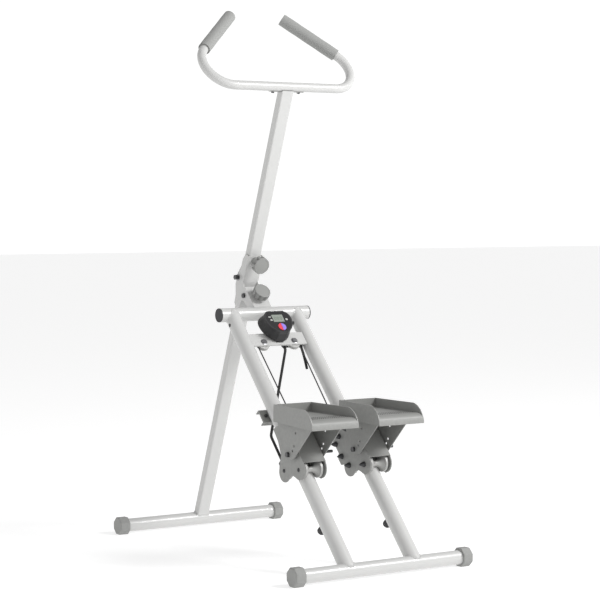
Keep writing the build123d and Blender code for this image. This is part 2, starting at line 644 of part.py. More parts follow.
for name, side in (("red_button", -1), ("purple_button", 1)):
    with BuildPart() as button:
        with BuildSketch(CONSOLE_PLANE.offset(CONSOLE_DEPTH - BEZEL)):
            with Locations((0, -BUTTON_DOWN)):
                Circle(BUTTON_RADIUS)
            with Locations((-side * (BUTTON_RADIUS - BUTTON_GAP), -BUTTON_DOWN)):
                Rectangle(2 * BUTTON_RADIUS, 3 * BUTTON_RADIUS, mode=Mode.SUBTRACT)
        extrude(amount=BEZEL + BUTTON_PROUD)
    save(button, name)

with BuildPart() as console_tab:
    with BuildSketch(rail_side(0)):
        Polygon(
            (PLATE_LOW + 8, PLATE_OFF + SHEET + WELD_GAP),
            (CONSOLE_AT - 18, PLATE_OFF + SHEET + WELD_GAP),
            (CONSOLE_AT + 8, CONSOLE_OFF - 2.5),
            (CONSOLE_AT + 8, CONSOLE_OFF - FIT),
            (CONSOLE_AT - 26, CONSOLE_OFF - FIT),
            (PLATE_LOW + 8, PLATE_OFF + SHEET + 3),
            align=None,
        )
    extrude(amount=11, both=True)
save(console_tab, "console_tab")

# ---------------------------------------------------------------- stop brackets under the rails
STOP_LOW = 497.0
STOP_HIGH = 538.0
STOP_DROP = 15.0
STOP_BACK = -RAIL_TUBE / 2 - 0.1  # web bears on the underside of the rail
STOP_OUT = 37.0  # reach past the rail axis, outwards
STOP_IN = 20.0

with BuildPart() as stop_brackets:
    for side in SIDES.values():
        with BuildSketch(rail_side(side * (RAIL_X + STOP_OUT))):
            with Locations(((STOP_LOW + STOP_HIGH) / 2, STOP_BACK - SHEET / 2)):
                Rectangle(STOP_HIGH - STOP_LOW, SHEET)
            for edge in (STOP_LOW + SHEET / 2, STOP_HIGH - SHEET / 2):
                with Locations((edge, STOP_BACK - STOP_DROP / 2)):
                    Rectangle(SHEET, STOP_DROP)
        extrude(amount=-side * (STOP_OUT + STOP_IN))
        axis = rail_point(side * (RAIL_X + 21), (STOP_LOW + STOP_HIGH) / 2, 0)
        with BuildSketch(Plane(origin=axis, x_dir=(1, 0, 0), z_dir=-RAIL_OUT)):
            Circle(3 + HOLE_CLEARANCE)
        extrude(amount=RAIL_TUBE, mode=Mode.SUBTRACT)
save(stop_brackets, "stop_brackets")

with BuildPart() as stop_bolts:
    for side in SIDES.values():
        seat = rail_point(side * (RAIL_X + 21), (STOP_LOW + STOP_HIGH) / 2, STOP_BACK)
        with BuildSketch(Plane(origin=seat, x_dir=(1, 0, 0), z_dir=RAIL_OUT)):
            Circle(4.6)
        extrude(amount=3.5)
        with BuildSketch(Plane(origin=seat, x_dir=(1, 0, 0), z_dir=-RAIL_OUT)):
            Circle(3)
        extrude(amount=12)
save(stop_bolts, "stop_bolts")

# ---------------------------------------------------------------- carriages
REAR_LOBE = (337.0, -30.5, 26.5)
FRONT_LOBE = (301.0, 32.0, 28.0)
COVER_LOW = 302.0
COVER_HIGH = 415.0
CLAMP_LOW = 366.0
CLAMP_HIGH = 390.0
CLAMP_OFF = -60.0
CORD_X = 109.0
SPARE_BOLTS = ((380, -41), (422, -42), (429, -15))  # bolts of the inner plate
ANCHOR_AT = 452.0  # stud of the drive cable
STUD_RADIUS = 5.0
ROLLERS = {
    "low_front": (LOWER_FRONT_AXLE, AXLE_OFF),
    "low_rear": (LOWER_REAR_AXLE, -AXLE_OFF),
    "high_front": (UPPER_AXLE, AXLE_OFF),
}
OUTER_PLATE = [
    (323, -48),
    (352, -52),
    (366, -38),
    (381, -14),
    (400, -6),
    (418, 0),
    (456, 3),
    (452, 20),
    (432, 62),
    (COVER_LOW, 62),
    (280, 42),
    (278, 14),
    (305, -2),
    (313, -20),
]
INNER_PLATE = [
    (323, -48),
    (345, -49),
    (CLAMP_LOW - 5, -49),
    (CLAMP_LOW - 2, CLAMP_OFF),
    (CLAMP_HIGH + 2, CLAMP_OFF),
    (CLAMP_HIGH + 5, -49),
    (462, -49),
    (470, -42),
    (470, 0),
    (452, 20),
    (432, 62),
    (COVER_LOW, 62),
    (280, 42),
    (278, 14),
    (305, -2),
    (313, -20),
]


def axle_holes():
    """Holes for the roller axles and the pedal pivot, in the current side sketch."""
    with Locations(*ROLLERS.values(), PEDAL_PIVOT):
        Circle(BOLT / 2 + HOLE_CLEARANCE, mode=Mode.SUBTRACT)


def plate(outline, x):
    """One lobed side plate of a carriage, on a side plane at x."""
    with BuildSketch(rail_side(x)) as face:
        Polygon(*outline, align=None)
        for along, off, radius in (REAR_LOBE, FRONT_LOBE):
            with Locations((along, off)):
                Circle(radius)
        axle_holes()
    extrude(face.sketch, amount=SHEET / 2, both=True)


for name, side in SIDES.items():
    middle = side * RAIL_X
    with BuildPart() as carriage:
        plate(OUTER_PLATE, middle + side * (PLATE_X + SHEET / 2))
        plate(INNER_PLATE, middle - side * (PLATE_X + SHEET / 2))
        with BuildSketch(rail_side(middle)):
            with Locations(((COVER_LOW + COVER_HIGH) / 2, CARRIAGE_COVER + SHEET / 2)):
                Rectangle(COVER_HIGH - COVER_LOW, SHEET)
        extrude(amount=PLATE_X + SHEET, both=True)
    save(carriage, f"{name}_carriage")

    with BuildPart() as axle_bolts:
        reach = PLATE_X + SHEET
        for along, off in ROLLERS.values():
            cross_bolt(rail_side(middle), (along, off), -reach, reach + 8, head_height=4)
        for along, off in SPARE_BOLTS:
            inner = middle - side * (PLATE_X + SHEET)
            start = Plane(origin=rail_point(inner, along, off), x_dir=RAIL_DIR, z_dir=(-side, 0, 0))
            with BuildSketch(start):
                RegularPolygon(6.5, 6, major_radius=False)
            extrude(amount=6)
            with BuildSketch(start):
                Circle(BOLT / 2)
            extrude(amount=14)
        anchor = rail_point(middle - side * (PLATE_X + SHEET), ANCHOR_AT, PULLEY_OFF)
        with BuildSketch(Plane(origin=anchor, x_dir=RAIL_DIR, z_dir=(-side, 0, 0))):
            Circle(STUD_RADIUS)
        extrude(amount=9)
    save(axle_bolts, f"{name}_carriage_bolts")

    with BuildPart() as cord_clamp:
        with BuildSketch(rail_side(middle - side * PLATE_X)):
            with Locations(((CLAMP_LOW + CLAMP_HIGH) / 2, CLAMP_OFF + 3)):
                RectangleRounded(CLAMP_HIGH - CLAMP_LOW, 14, 3)
        extrude(amount=side * 48)
        hole = rail_point(side * CORD_X, CLAMP_HIGH + 1, CLAMP_OFF)
        with BuildSketch(Plane(origin=hole, x_dir=(1, 0, 0), z_dir=-RAIL_DIR)):
            Circle(CORD / 2 + FIT)
        extrude(amount=CLAMP_HIGH - CLAMP_LOW - 3, mode=Mode.SUBTRACT)
    save(cord_clamp, f"{name}_cord_clamp")

    for place, (along, off) in ROLLERS.items():
        axis = rail_point(middle, along, off)
        toward_rail = RAIL_OUT * (-1 if off > 0 else 1)
        with BuildPart() as roller:
            frame = Plane(origin=axis, x_dir=(1, 0, 0), z_dir=Vector(1, 0, 0).cross(toward_rail))
            hug = RAIL_TUBE / 2 + SLIP
            rim_x = sqrt(hug**2 - (AXLE_OFF - FLANGE) ** 2)
            bore = BOLT / 2 + HOLE_CLEARANCE
            with BuildSketch(frame):
                with BuildLine():
                    for hand in (-1, 1):
                        Polyline(
                            (hand * rim_x, FLANGE), (hand * 27, FLANGE), (hand * 28.5, FLANGE - 2),
                            (hand * 28.5, 8), (hand * 31.8, 7), (hand * 31.8, bore),
                        )
                    Line((31.8, bore), (-31.8, bore))
                    ThreePointArc((-rim_x, FLANGE), (0, AXLE_OFF - hug), (rim_x, FLANGE))
                make_face()
            revolve(axis=Axis(axis, (1, 0, 0)))
        save(roller, f"{name}_roller_{place}")

# ---------------------------------------------------------------- pedals
TRAY = 2.5  # sheet of the tray
FLOOR_TOP = 409.0
WALL_LOW = 387.0
WALL_TOP = 433.0
ROLL = 22.0  # radius of the rolled heel
LIP_LOW = 382.0
GUSSET = [(-208, 406.4), (-380, 406.4), (-380, 391), (-284, 296), (-264, 289), (-246, 295), (-206, 379)]
PEDAL_BOLT_END = {"left": 44.0, "right": 32.0}  # shank left over past the gusset
GUSSET_HOLES = [(-284, 329), (-276, 316), (-292, 364)]


def pedal_plan(x, inset, reach):
    """Tapered plan of the tray, narrower by an inset and longer at the heel by a reach."""
    slope = (PEDAL_HEEL_WIDTH - PEDAL_TOE_WIDTH) / 2 / (PEDAL_TOE_Y - PEDAL_HEEL_Y)
    toe = PEDAL_TOE_WIDTH / 2 - inset
    heel = PEDAL_HEEL_WIDTH / 2 - inset + slope * reach
    Polygon(
        (x - toe, PEDAL_TOE_Y - inset),
        (x + toe, PEDAL_TOE_Y - inset),
        (x + heel, PEDAL_HEEL_Y - reach),
        (x - heel, PEDAL_HEEL_Y - reach),
        align=None,
    )


def upright(x):
    """Upright plane at x: local X is +Y, local Y is up."""
    return Plane(origin=(x, 0, 0), x_dir=(0, 1, 0), z_dir=(1, 0, 0))


for name, side in SIDES.items():
    middle = side * RAIL_X
    roll_y = PEDAL_HEEL_Y + ROLL
    roll_z = FLOOR_TOP - ROLL
    with BuildPart() as well:
        with BuildSketch(upright(middle)):
            with BuildLine():
                Polyline(
                    (roll_y, FLOOR_TOP), (0, FLOOR_TOP), (0, 500), (-500, 500), (-500, roll_z),
                    (PEDAL_HEEL_Y, roll_z),
                )
                RadiusArc((PEDAL_HEEL_Y, roll_z), (roll_y, FLOOR_TOP), ROLL)
            make_face()
            with BuildLine():
                Polyline(
                    (roll_y, FLOOR_TOP - TRAY), (0, FLOOR_TOP - TRAY), (0, 300), (PEDAL_HEEL_Y + TRAY, 300),
                    (PEDAL_HEEL_Y + TRAY, roll_z),
                )
                RadiusArc((PEDAL_HEEL_Y + TRAY, roll_z), (roll_y, FLOOR_TOP - TRAY), ROLL - TRAY)
            make_face()
        extrude(amount=PEDAL_HEEL_WIDTH, both=True)
        with BuildSketch(Plane.XY):
            pedal_plan(middle, TRAY, 10)
        extrude(amount=2 * WALL_TOP, mode=Mode.INTERSECT)
    with BuildPart() as tray:
        with BuildSketch(upright(middle)):
            with BuildLine():
                Polyline(
                    (PEDAL_HEEL_Y, LIP_LOW), (PEDAL_TOE_Y, WALL_LOW), (PEDAL_TOE_Y, WALL_TOP),
                    (-368, WALL_TOP),
                )
                ThreePointArc((-368, WALL_TOP), (-399, 414), (PEDAL_HEEL_Y, LIP_LOW + 5))
                Line((PEDAL_HEEL_Y, LIP_LOW + 5), (PEDAL_HEEL_Y, LIP_LOW))
            make_face()
        extrude(amount=PEDAL_HEEL_WIDTH, both=True)
        with BuildSketch(Plane.XY):
            pedal_plan(middle, 0, 10)
        extrude(amount=2 * WALL_TOP, mode=Mode.INTERSECT)
        add(well.part, mode=Mode.SUBTRACT)
    save(tray, f"{name}_pedal_tray")

    with BuildPart() as gussets:
        for hand in (-1, 1):
            with BuildSketch(upright(middle + hand * (GUSSET_X + SHEET / 2))):
                Polygon(*GUSSET, align=None)
                with Locations(*GUSSET_HOLES):
                    Circle(3.5, mode=Mode.SUBTRACT)
                pivot = rail_point(0, *PEDAL_PIVOT)
                with Locations((pivot.Y, pivot.Z)):
                    Circle(13)
                    Circle(BOLT / 2 + HOLE_CLEARANCE, mode=Mode.SUBTRACT)
            extrude(amount=SHEET / 2, both=True)
    save(gussets, f"{name}_pedal_gussets")

    with BuildPart() as pedal_bolt:
        outer = GUSSET_X + SHEET + 0.3
        start = Plane(
            origin=rail_point(middle - outer, *PEDAL_PIVOT), x_dir=RAIL_DIR, z_dir=(1, 0, 0)
        )
        with BuildSketch(start):
            Circle(BOLT / 2)
        extrude(amount=2 * outer + PEDAL_BOLT_END[name])
        with BuildSketch(start):
            RegularPolygon(6.5, 6, major_radius=False)
        extrude(amount=-6)
        for low in (0.5 + SHEET, outer + PLATE_X + SHEET + 0.2):
            with BuildSketch(start.offset(low)):
                Circle(7)
            extrude(amount=GUSSET_X - PLATE_X - SHEET - 0.4)
        with BuildSketch(start.offset(2 * outer)):
            RegularPolygon(6.5, 6, major_radius=False)
        extrude(amount=6)
    save(pedal_bolt, f"{name}_pedal_bolt")

# ---------------------------------------------------------------- drive cable and elastic cords
CABLE_RADIUS = PULLEY_RADIUS - CABLE / 2
CABLE_X = PULLEY_X + CABLE_RADIUS
CABLE_END_X = RAIL_X - PLATE_X - SHEET - 6
CABLE_FOOT = ANCHOR_AT + STUD_RADIUS + SLIP  # the cable ends just above the studs

with BuildPart() as drive_cable:
    route = Plane(origin=rail_point(0, 0, PULLEY_OFF), x_dir=(1, 0, 0), z_dir=RAIL_OUT)
    with BuildLine(route) as cable_line:
        FilletPolyline(
            (-CABLE_END_X, CABLE_FOOT),
            (-CABLE_X, PULLEY_AT + CABLE_RADIUS),
            (CABLE_X, PULLEY_AT + CABLE_RADIUS),
            (CABLE_END_X, CABLE_FOOT),
            radius=CABLE_RADIUS,
        )
    with BuildSketch(Plane(origin=cable_line.line @ 0, z_dir=cable_line.line % 0)):
        Circle(CABLE / 2)
    sweep()
save(drive_cable, "drive_cable")

def widest_radii(points):
    """For each corner, 0.45 of the shorter run over the tangent of half the turn."""
    radii = []
    for before, corner, after in zip(points, points[1:], points[2:]):
        first, second = corner - before, after - corner
        half_turn = radians(first.get_angle(second)) / 2
        radii.append(0.45 * min(first.length, second.length) / tan(half_turn))
    return radii


LEFT_CORD = [
    rail_point(PULLEY_X - ANCHOR_REACH, CORD_TOP + 10, CORD_OFF),
    rail_point(PULLEY_X - ANCHOR_REACH, CORD_TOP - 6, CORD_OFF),
    rail_point(-CORD_X, 478, CLAMP_OFF),
    rail_point(-CORD_X, CLAMP_LOW + 4, CLAMP_OFF),
]
with BuildPart() as left_cord:
    with BuildLine() as left_line:
        FilletPolyline(*LEFT_CORD, radius=2 * CORD)
    with BuildSketch(Plane(origin=left_line.line @ 0, z_dir=left_line.line % 0)):
        Circle(CORD / 2)
    sweep()
save(left_cord, "left_cord")

RIGHT_CORD = [
    rail_point(PULLEY_X + ANCHOR_REACH, CORD_TOP, CORD_OFF),
    rail_point(77.5, 722, -9),
    rail_point(80, 700, -19),
    rail_point(83, 677, -32),
]


with BuildPart() as right_cord:
    with BuildLine() as right_line:
        FilletPolyline(*RIGHT_CORD, radius=widest_radii(RIGHT_CORD))
    with BuildSketch(Plane(origin=right_line.line @ 0, z_dir=right_line.line % 0)):
        Circle(CORD / 2)
    sweep()
save(right_cord, "right_cord")

for name, line, points in (("left", left_line, LEFT_CORD), ("right", right_line, RIGHT_CORD)):
    length = sum(edge.length for edge in line.edges())
    radii = [round(radius) for radius in widest_radii(points)]
    volume = length * CORD_SECTION
    print(f"{name} cord: length {length:.1f}, widest radii {radii}, section x length {volume:.0f}")
print(f"cord volumes {left_cord.part.volume:.0f} and {right_cord.part.volume:.0f}")
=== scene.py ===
"""Looks of a folding rail stepper: tubes, pedals, cords, knobs, grips and console."""

import json
import logging
import math
from dataclasses import dataclass
from enum import Enum
from typing import Iterable

import bpy
import numpy as np
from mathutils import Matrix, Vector


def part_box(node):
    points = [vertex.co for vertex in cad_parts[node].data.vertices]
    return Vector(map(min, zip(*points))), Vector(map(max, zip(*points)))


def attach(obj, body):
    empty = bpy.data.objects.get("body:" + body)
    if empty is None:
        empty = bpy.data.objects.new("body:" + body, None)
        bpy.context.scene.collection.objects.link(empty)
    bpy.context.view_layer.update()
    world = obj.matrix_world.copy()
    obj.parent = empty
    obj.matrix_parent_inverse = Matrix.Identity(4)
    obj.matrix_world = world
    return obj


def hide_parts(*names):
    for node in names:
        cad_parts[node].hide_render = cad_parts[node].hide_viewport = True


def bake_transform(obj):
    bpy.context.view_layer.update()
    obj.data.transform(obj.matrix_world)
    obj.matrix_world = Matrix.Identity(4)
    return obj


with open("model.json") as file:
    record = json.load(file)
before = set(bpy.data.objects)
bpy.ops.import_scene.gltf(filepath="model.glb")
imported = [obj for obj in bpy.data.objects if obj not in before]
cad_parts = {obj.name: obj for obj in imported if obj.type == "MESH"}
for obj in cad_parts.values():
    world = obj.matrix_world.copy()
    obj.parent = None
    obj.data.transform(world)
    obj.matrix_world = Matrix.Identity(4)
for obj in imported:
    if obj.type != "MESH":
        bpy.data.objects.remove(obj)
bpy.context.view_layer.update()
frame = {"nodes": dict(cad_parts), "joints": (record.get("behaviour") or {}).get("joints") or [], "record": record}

LOG = logging.getLogger("stepper")
MM = 0.001
Array = np.ndarray
Part = tuple[Array, Array, Array]  # points, four-cornered faces, face-corner UVs
JOINTS = {joint["name"]: joint for joint in frame["joints"]}


def unit(vector: Iterable[float]) -> Array:
    """The vector at length one."""
    array = np.asarray(vector, float)
    return array / np.linalg.norm(array)


X = np.array([1.0, 0.0, 0.0])
UP = np.array([0.0, 0.0, 1.0])
RAIL_DIR = unit(JOINTS["left_step"]["axis"])
RAIL_OUT = -unit(JOINTS["red_button_press"]["axis"])
LEG_OUT = -unit(JOINTS["upper_knob_spin"]["axis"])
LEG_DIR = np.cross(X, LEG_OUT)
FRAME_PIVOT = (933 * MM, -9 * MM)  # the fold, along the rails and off them
RAIL_FOOT = (np.asarray(JOINTS["frame_fold"]["pos_m"])
             - RAIL_DIR * FRAME_PIVOT[0] - RAIL_OUT * FRAME_PIVOT[1])
RAIL_ACROSS = 105.0  # each rail's distance from the middle, in millimetres
PULLEY_ACROSS, PULLEY_ALONG = 50.0, 746.0  # a pulley's bolt, from the middle and up the rails


def on_rail(x: float, along: float, off: float) -> Array:
    """A place by the rails.

    Args:
        x: distance to the right of the middle, in millimetres.
        along: distance up the rails from the rear stabilizer, in millimetres.
        off: distance off the rail axes towards the user, in millimetres.

    Returns:
        The point in metres.
    """
    return RAIL_FOOT + X * x * MM + RAIL_DIR * along * MM + RAIL_OUT * off * MM


def node_points(node: str) -> Array:
    """All corner points of a CAD node, in metres."""
    mesh = frame["nodes"][node].data
    points = np.empty(len(mesh.vertices) * 3)
    mesh.vertices.foreach_get("co", points)
    return points.reshape(-1, 3)


# ------------------------------------------------------------------ surfaces
def once_round(corners: int) -> Array:
    """Evenly spaced angles once round a circle."""
    return np.linspace(0, 2 * math.pi, corners, endpoint=False)


def superellipse(angle: Array, half: tuple[float, float], power: float) -> tuple[Array, Array]:
    """A rounded box, or an ellipse where the power is one.

    Each coordinate is half the size times the cosine or sine raised to the power, with its sign.

    Args:
        angle: the angles to work it out at.
        half: half the width and half the height.
        power: near nought for square corners.

    Returns:
        The distances across and up.
    """
    cosine, sine = np.cos(angle), np.sin(angle)
    return (half[0] * np.sign(cosine) * np.abs(cosine) ** power,
            half[1] * np.sign(sine) * np.abs(sine) ** power)


def inside_out(points: Array, faces: Array) -> bool:
    """Whether a closed skin's faces look inwards: their signed volumes then sum below nought."""
    a, b, c, d = (points[faces[:, n]] - points.mean(0) for n in range(4))
    return bool((np.cross(a, b) * c).sum() + (np.cross(a, c) * d).sum() < 0)


def surface(points: Array, length: Array | None = None) -> Part:
    """A closed skin from a grid of rings; each end ring is closed onto its own middle.

    Args:
        points: rings by corners by xyz; the corners of a ring go once round.
        length: distance of each ring along the piece, for the UV map.

    Returns:
        The part with its faces turned outwards.
    """
    rings, corners, _ = points.shape
    first = np.repeat(points[:1].mean(1, keepdims=True), corners, 1)
    last = np.repeat(points[-1:].mean(1, keepdims=True), corners, 1)
    grid = np.concatenate([first, points, last])
    run = np.arange(rings, dtype=float) if length is None else np.asarray(length, float)
    run = np.concatenate([run[:1], run, run[-1:]])
    i, j = np.meshgrid(np.arange(rings + 1), np.arange(corners), indexing="ij")
    k = (j + 1) % corners
    faces = np.stack([i * corners + j, i * corners + k,
                      (i + 1) * corners + k, (i + 1) * corners + j], -1)
    around = np.stack([j, j + 1, j + 1, j], -1) / corners
    along = np.stack([run[i], run[i], run[i + 1], run[i + 1]], -1)
    uv = np.stack([along, around], -1).reshape(-1, 4, 2)
    flat, faces = grid.reshape(-1, 3), faces.reshape(-1, 4)
    if inside_out(flat, faces):
        faces, uv = faces[:, ::-1], uv[:, ::-1]
    return flat, faces, uv


def circle(axis: Array, corners: int) -> Array:
    """Unit vectors once round an axis, square to it."""
    side = unit(np.cross(axis, X if abs(axis[0]) < 0.9 else UP))
    angle = once_round(corners)[:, None]
    return np.cos(angle) * side + np.sin(angle) * np.cross(axis, side)


def turned(profile: Iterable[tuple[float, float]], origin: Array, axis: Array,
           corners: int = 32) -> Part:
    """A turned piece: each point of the profile is swept once round the axis.

    Args:
        profile: (height, radius) pairs in millimetres.
        origin: where the height is nought, in metres.
        axis: the unit vector that the height runs along.
        corners: points in each ring.

    Returns:
        The closed skin.
    """
    heights, radii = np.array(list(profile)).T * MM
    rings = radii[:, None, None] * circle(axis, corners)
    return surface(origin + heights[:, None, None] * axis + rings, heights)


def tube(path: Array, radius: float | Array, reference: Array, corners: int = 16) -> Part:
    """A round skin carried along a path, each ring square to the path's direction.

    Args:
        path: the middle line, in metres.
        radius: one radius, or one for each point, in metres.
        reference: the direction that each ring's first corner looks along.
        corners: points in each ring.

    Returns:
        The closed skin.
    """
    direction = np.gradient(path, axis=0)
    direction /= np.linalg.norm(direction, axis=1, keepdims=True)
    up = reference - (direction @ reference)[:, None] * direction
    up /= np.linalg.norm(up, axis=1, keepdims=True)
    side = np.cross(direction, up)
    angle = once_round(corners)[None, :, None]
    ring = np.cos(angle) * up[:, None] + np.sin(angle) * side[:, None]
    size = np.broadcast_to(np.asarray(radius, float), (len(path),))[:, None, None]
    steps = np.linalg.norm(np.diff(path, axis=0), axis=1)
    return surface(path[:, None] + size * ring, np.concatenate([[0], np.cumsum(steps)]))


def closed_bead(path: Array, radius: Array, outward: Array, corners: int = 10) -> Part:
    """A ring-shaped bead: a small circle carried round a closed path.

    Args:
        path: the middle line, in metres; its last point runs on to its first.
        radius: the circle's radius at each point, in metres.
        outward: the direction that each circle's first corner looks along.
        corners: points in each circle.

    Returns:
        The closed skin.
    """
    forward = np.roll(path, -1, 0) - np.roll(path, 1, 0)
    forward /= np.linalg.norm(forward, axis=1, keepdims=True)
    side = outward - (outward * forward).sum(1)[:, None] * forward
    side /= np.linalg.norm(side, axis=1, keepdims=True)
    other = np.cross(forward, side)
    angle = once_round(corners)[None, :, None]
    ring = np.cos(angle) * side[:, None] + np.sin(angle) * other[:, None]
    points = (path[:, None] + radius[:, None, None] * ring).reshape(-1, 3)
    i, j = np.meshgrid(np.arange(len(path)), np.arange(corners), indexing="ij")
    n, k = (i + 1) % len(path), (j + 1) % corners
    faces = np.stack([i * corners + j, i * corners + k,
                      n * corners + k, n * corners + j], -1).reshape(-1, 4)
    if inside_out(points, faces):
        faces = faces[:, ::-1]
    return points, faces, np.zeros((len(faces), 4, 2))


def piece(name: str, parts: list[Part], material: bpy.types.Material,
          smooth: float = 40.0) -> bpy.types.Object:
    """Joins parts into one object at the origin.

    Args:
        name: the piece's name.
        parts: its closed skins.
        material: its finish.
        smooth: edges that turn by less than this many degrees are shaded smooth.

    Returns:
        The new object, with the doubled points at its poles and seams closed.
    """
    offsets = np.cumsum([0] + [len(part[0]) for part in parts[:-1]])
    points = np.concatenate([part[0] for part in parts])
    faces = np.concatenate([part[1] + offset for part, offset in zip(parts, offsets)])
    mesh = bpy.data.meshes.new(name)
    mesh.from_pydata(points.tolist(), [], faces.tolist())
    layer = mesh.uv_layers.new(name="run")
    layer.data.foreach_set("uv", np.concatenate([part[2] for part in parts]).reshape(-1))
    mesh.polygons.foreach_set("use_smooth", np.ones(len(faces), bool))
    body = bpy.data.objects.new(name, mesh)
    bpy.context.scene.collection.objects.link(body)
    mesh.materials.append(material)
    bpy.context.view_layer.objects.active = body
    for other in bpy.context.selected_objects:
        other.select_set(False)
    body.select_set(True)
    bpy.ops.object.mode_set(mode="EDIT")
    bpy.ops.mesh.select_all(action="SELECT")
    bpy.ops.mesh.remove_doubles(threshold=1e-6)
    bpy.ops.object.mode_set(mode="OBJECT")
    mesh.set_sharp_from_angle(angle=math.radians(smooth))
    LOG.info("%s: %d points", name, len(mesh.vertices))
    return body


# ------------------------------------------------------------------ node groups
WHITE = (1.0, 1.0, 1.0, 1.0)
DUST_GREY = (0.62, 0.60, 0.57, 1.0)
Socket = bpy.types.NodeSocket
Tree = bpy.types.ShaderNodeTree


class Weave:
    """Lays out one shader node group with named sockets."""

    def __init__(self, name: str, inputs: dict[str, float | tuple],
                 outputs: dict[str, str]) -> None:
        """Makes the group and its sockets; a four-number default makes a colour socket."""
        self.tree = bpy.data.node_groups.new(name, "ShaderNodeTree")
        face = self.tree.interface
        face.new_socket("Vector", in_out="INPUT", socket_type="NodeSocketVector")
        for label, value in inputs.items():
            kind = "NodeSocketColor" if isinstance(value, tuple) else "NodeSocketFloat"
            socket = face.new_socket(label, in_out="INPUT", socket_type=kind)
            socket.default_value = value
        for label, kind in outputs.items():
            face.new_socket(label, in_out="OUTPUT", socket_type=kind)
        self.source = self.tree.nodes.new("NodeGroupInput")
        self.sink = self.tree.nodes.new("NodeGroupOutput")

    def add(self, kind: str, **inputs: object) -> bpy.types.Node:
        """Adds a node; lower-case names set its properties, other names its sockets."""
        return add_node(self.tree, kind, **inputs)

    def work(self, operation: str, *values: object) -> Socket:
        """Adds a Math node on the values or sockets given and returns its result."""
        sockets = {f"in_{place}": value for place, value in enumerate(values)}
        return self.add("Math", operation=operation, **sockets).outputs[0]

    def mix(self, mask: Socket, below: Socket, above: object) -> Socket:
        """Lets one colour over another where the mask says, and returns the result."""
        node = self.add("Mix", data_type="RGBA", in_0=mask, in_6=below, in_7=above)
        return node.outputs[2]

    def done(self, **outputs: Socket) -> Tree:
        """Feeds the outputs and returns the finished group."""
        for label, socket in outputs.items():
            self.tree.links.new(socket, self.sink.inputs[label])
        return self.tree


def fill(tree: Tree, socket: Socket, value: object) -> None:
    """Links a socket to another one, or sets its value."""
    if isinstance(value, Socket):
        tree.links.new(value, socket)
    else:
        socket.default_value = value


def add_node(tree: Tree, kind: str, **inputs: object) -> bpy.types.Node:
    """Adds a shader node.

    Args:
        tree: where the node goes.
        kind: the node's type, without its ShaderNode prefix.
        inputs: lower-case names set properties; capitalised names and in_0, in_1 fill sockets.

    Returns:
        The node.
    """
    node = tree.nodes.new("ShaderNode" + kind)
    sockets = {}
    for label, value in inputs.items():
        if label[0].islower() and not label.startswith("in_"):
            setattr(node, label, value)
        else:
            sockets[label] = value
    for label, value in sockets.items():
        key = int(label[3:]) if label.startswith("in_") else label.replace("_", " ")
        fill(tree, node.inputs[key], value)
    return node


def mottle_group() -> Tree:
    """Slow colour drift and uneven gloss.

    The shift is broad noise plus 0.4 of a fine one, less 0.7, times the amount. One plus the shift
    multiplies the colour's value, and 1.6 of the shift is added to the roughness.
    """
    weave = Weave("mottle", {"Color": WHITE, "Roughness": 0.5, "Amount": 0.1},
                  {"Color": "NodeSocketColor", "Roughness": "NodeSocketFloat"})
    ins = weave.source.outputs
    broad = weave.add("TexNoise", Vector=ins["Vector"], Scale=9.0, Detail=4.0)
    fine = weave.add("TexNoise", Vector=ins["Vector"], Scale=260.0, Detail=2.0)
    both = weave.work("MULTIPLY_ADD", fine.outputs[0], 0.4, broad.outputs[0])
    shift = weave.work("MULTIPLY", weave.work("SUBTRACT", both, 0.7), ins["Amount"])
    value = weave.work("ADD", shift, 1.0)
    tint = weave.add("HueSaturation", Color=ins["Color"], Value=value)
    rough = weave.work("MULTIPLY_ADD", shift, 1.6, ins["Roughness"])
    return weave.done(Color=tint.outputs[0], Roughness=rough)


def dust_group() -> Tree:
    """Settled dust: a mask of faces that look up, broken by noise, mixes in a pale grey."""
    weave = Weave("dust", {"Color": WHITE, "Amount": 0.1}, {"Color": "NodeSocketColor"})
    ins = weave.source.outputs
    face = weave.add("NewGeometry")
    parts = weave.add("SeparateXYZ", in_0=face.outputs["Normal"])
    up = weave.add("MapRange", Value=parts.outputs["Z"], From_Min=0.3, From_Max=1.0)
    noise = weave.add("TexNoise", Vector=ins["Vector"], Scale=60.0, Detail=6.0)
    patch = weave.work("MULTIPLY", up.outputs[0], noise.outputs[0])
    mask = weave.work("MULTIPLY", patch, ins["Amount"])
    return weave.done(Color=weave.mix(mask, ins["Color"], DUST_GREY))


def rub_and_highlight_group() -> Tree:
    """Lighter edges, partly rubbed through and partly a painted highlight: where the surface turns sharply
    outwards, noise lets a second colour in.
    """
    weave = Weave("edge_rub_and_highlight", {"Color": WHITE, "Bare": (0.5, 0.5, 0.5, 1.0), "Amount": 0.3},
                  {"Color": "NodeSocketColor"})
    ins = weave.source.outputs
    face = weave.add("NewGeometry")
    edge = weave.add("MapRange", Value=face.outputs["Pointiness"], From_Min=0.52, From_Max=0.62)
    noise = weave.add("TexNoise", Vector=ins["Vector"], Scale=120.0, Detail=5.0)
    chip_and_highlight_patches = weave.add("MapRange", Value=noise.outputs[0], From_Min=0.42, From_Max=0.62)
    both = weave.work("MULTIPLY", edge.outputs[0], chip_and_highlight_patches.outputs[0])
    mask = weave.work("MULTIPLY", both, ins["Amount"])
    return weave.done(Color=weave.mix(mask, ins["Color"], ins["Bare"]))


def noise_relief(name: str, detail: float, stretch: tuple[float, float, float]) -> Tree:
    """Relief of plain noise, stretched along one axis for drawn or turned metal."""
    weave = Weave(name, {"Scale": 400.0}, {"Height": "NodeSocketFloat"})
    ins = weave.source.outputs
    mapped = weave.add("Mapping", Vector=ins["Vector"], Scale=stretch)
    noise = weave.add("TexNoise", Vector=mapped.outputs[0], Scale=ins["Scale"], Detail=detail)
    return weave.done(Height=noise.outputs[0])


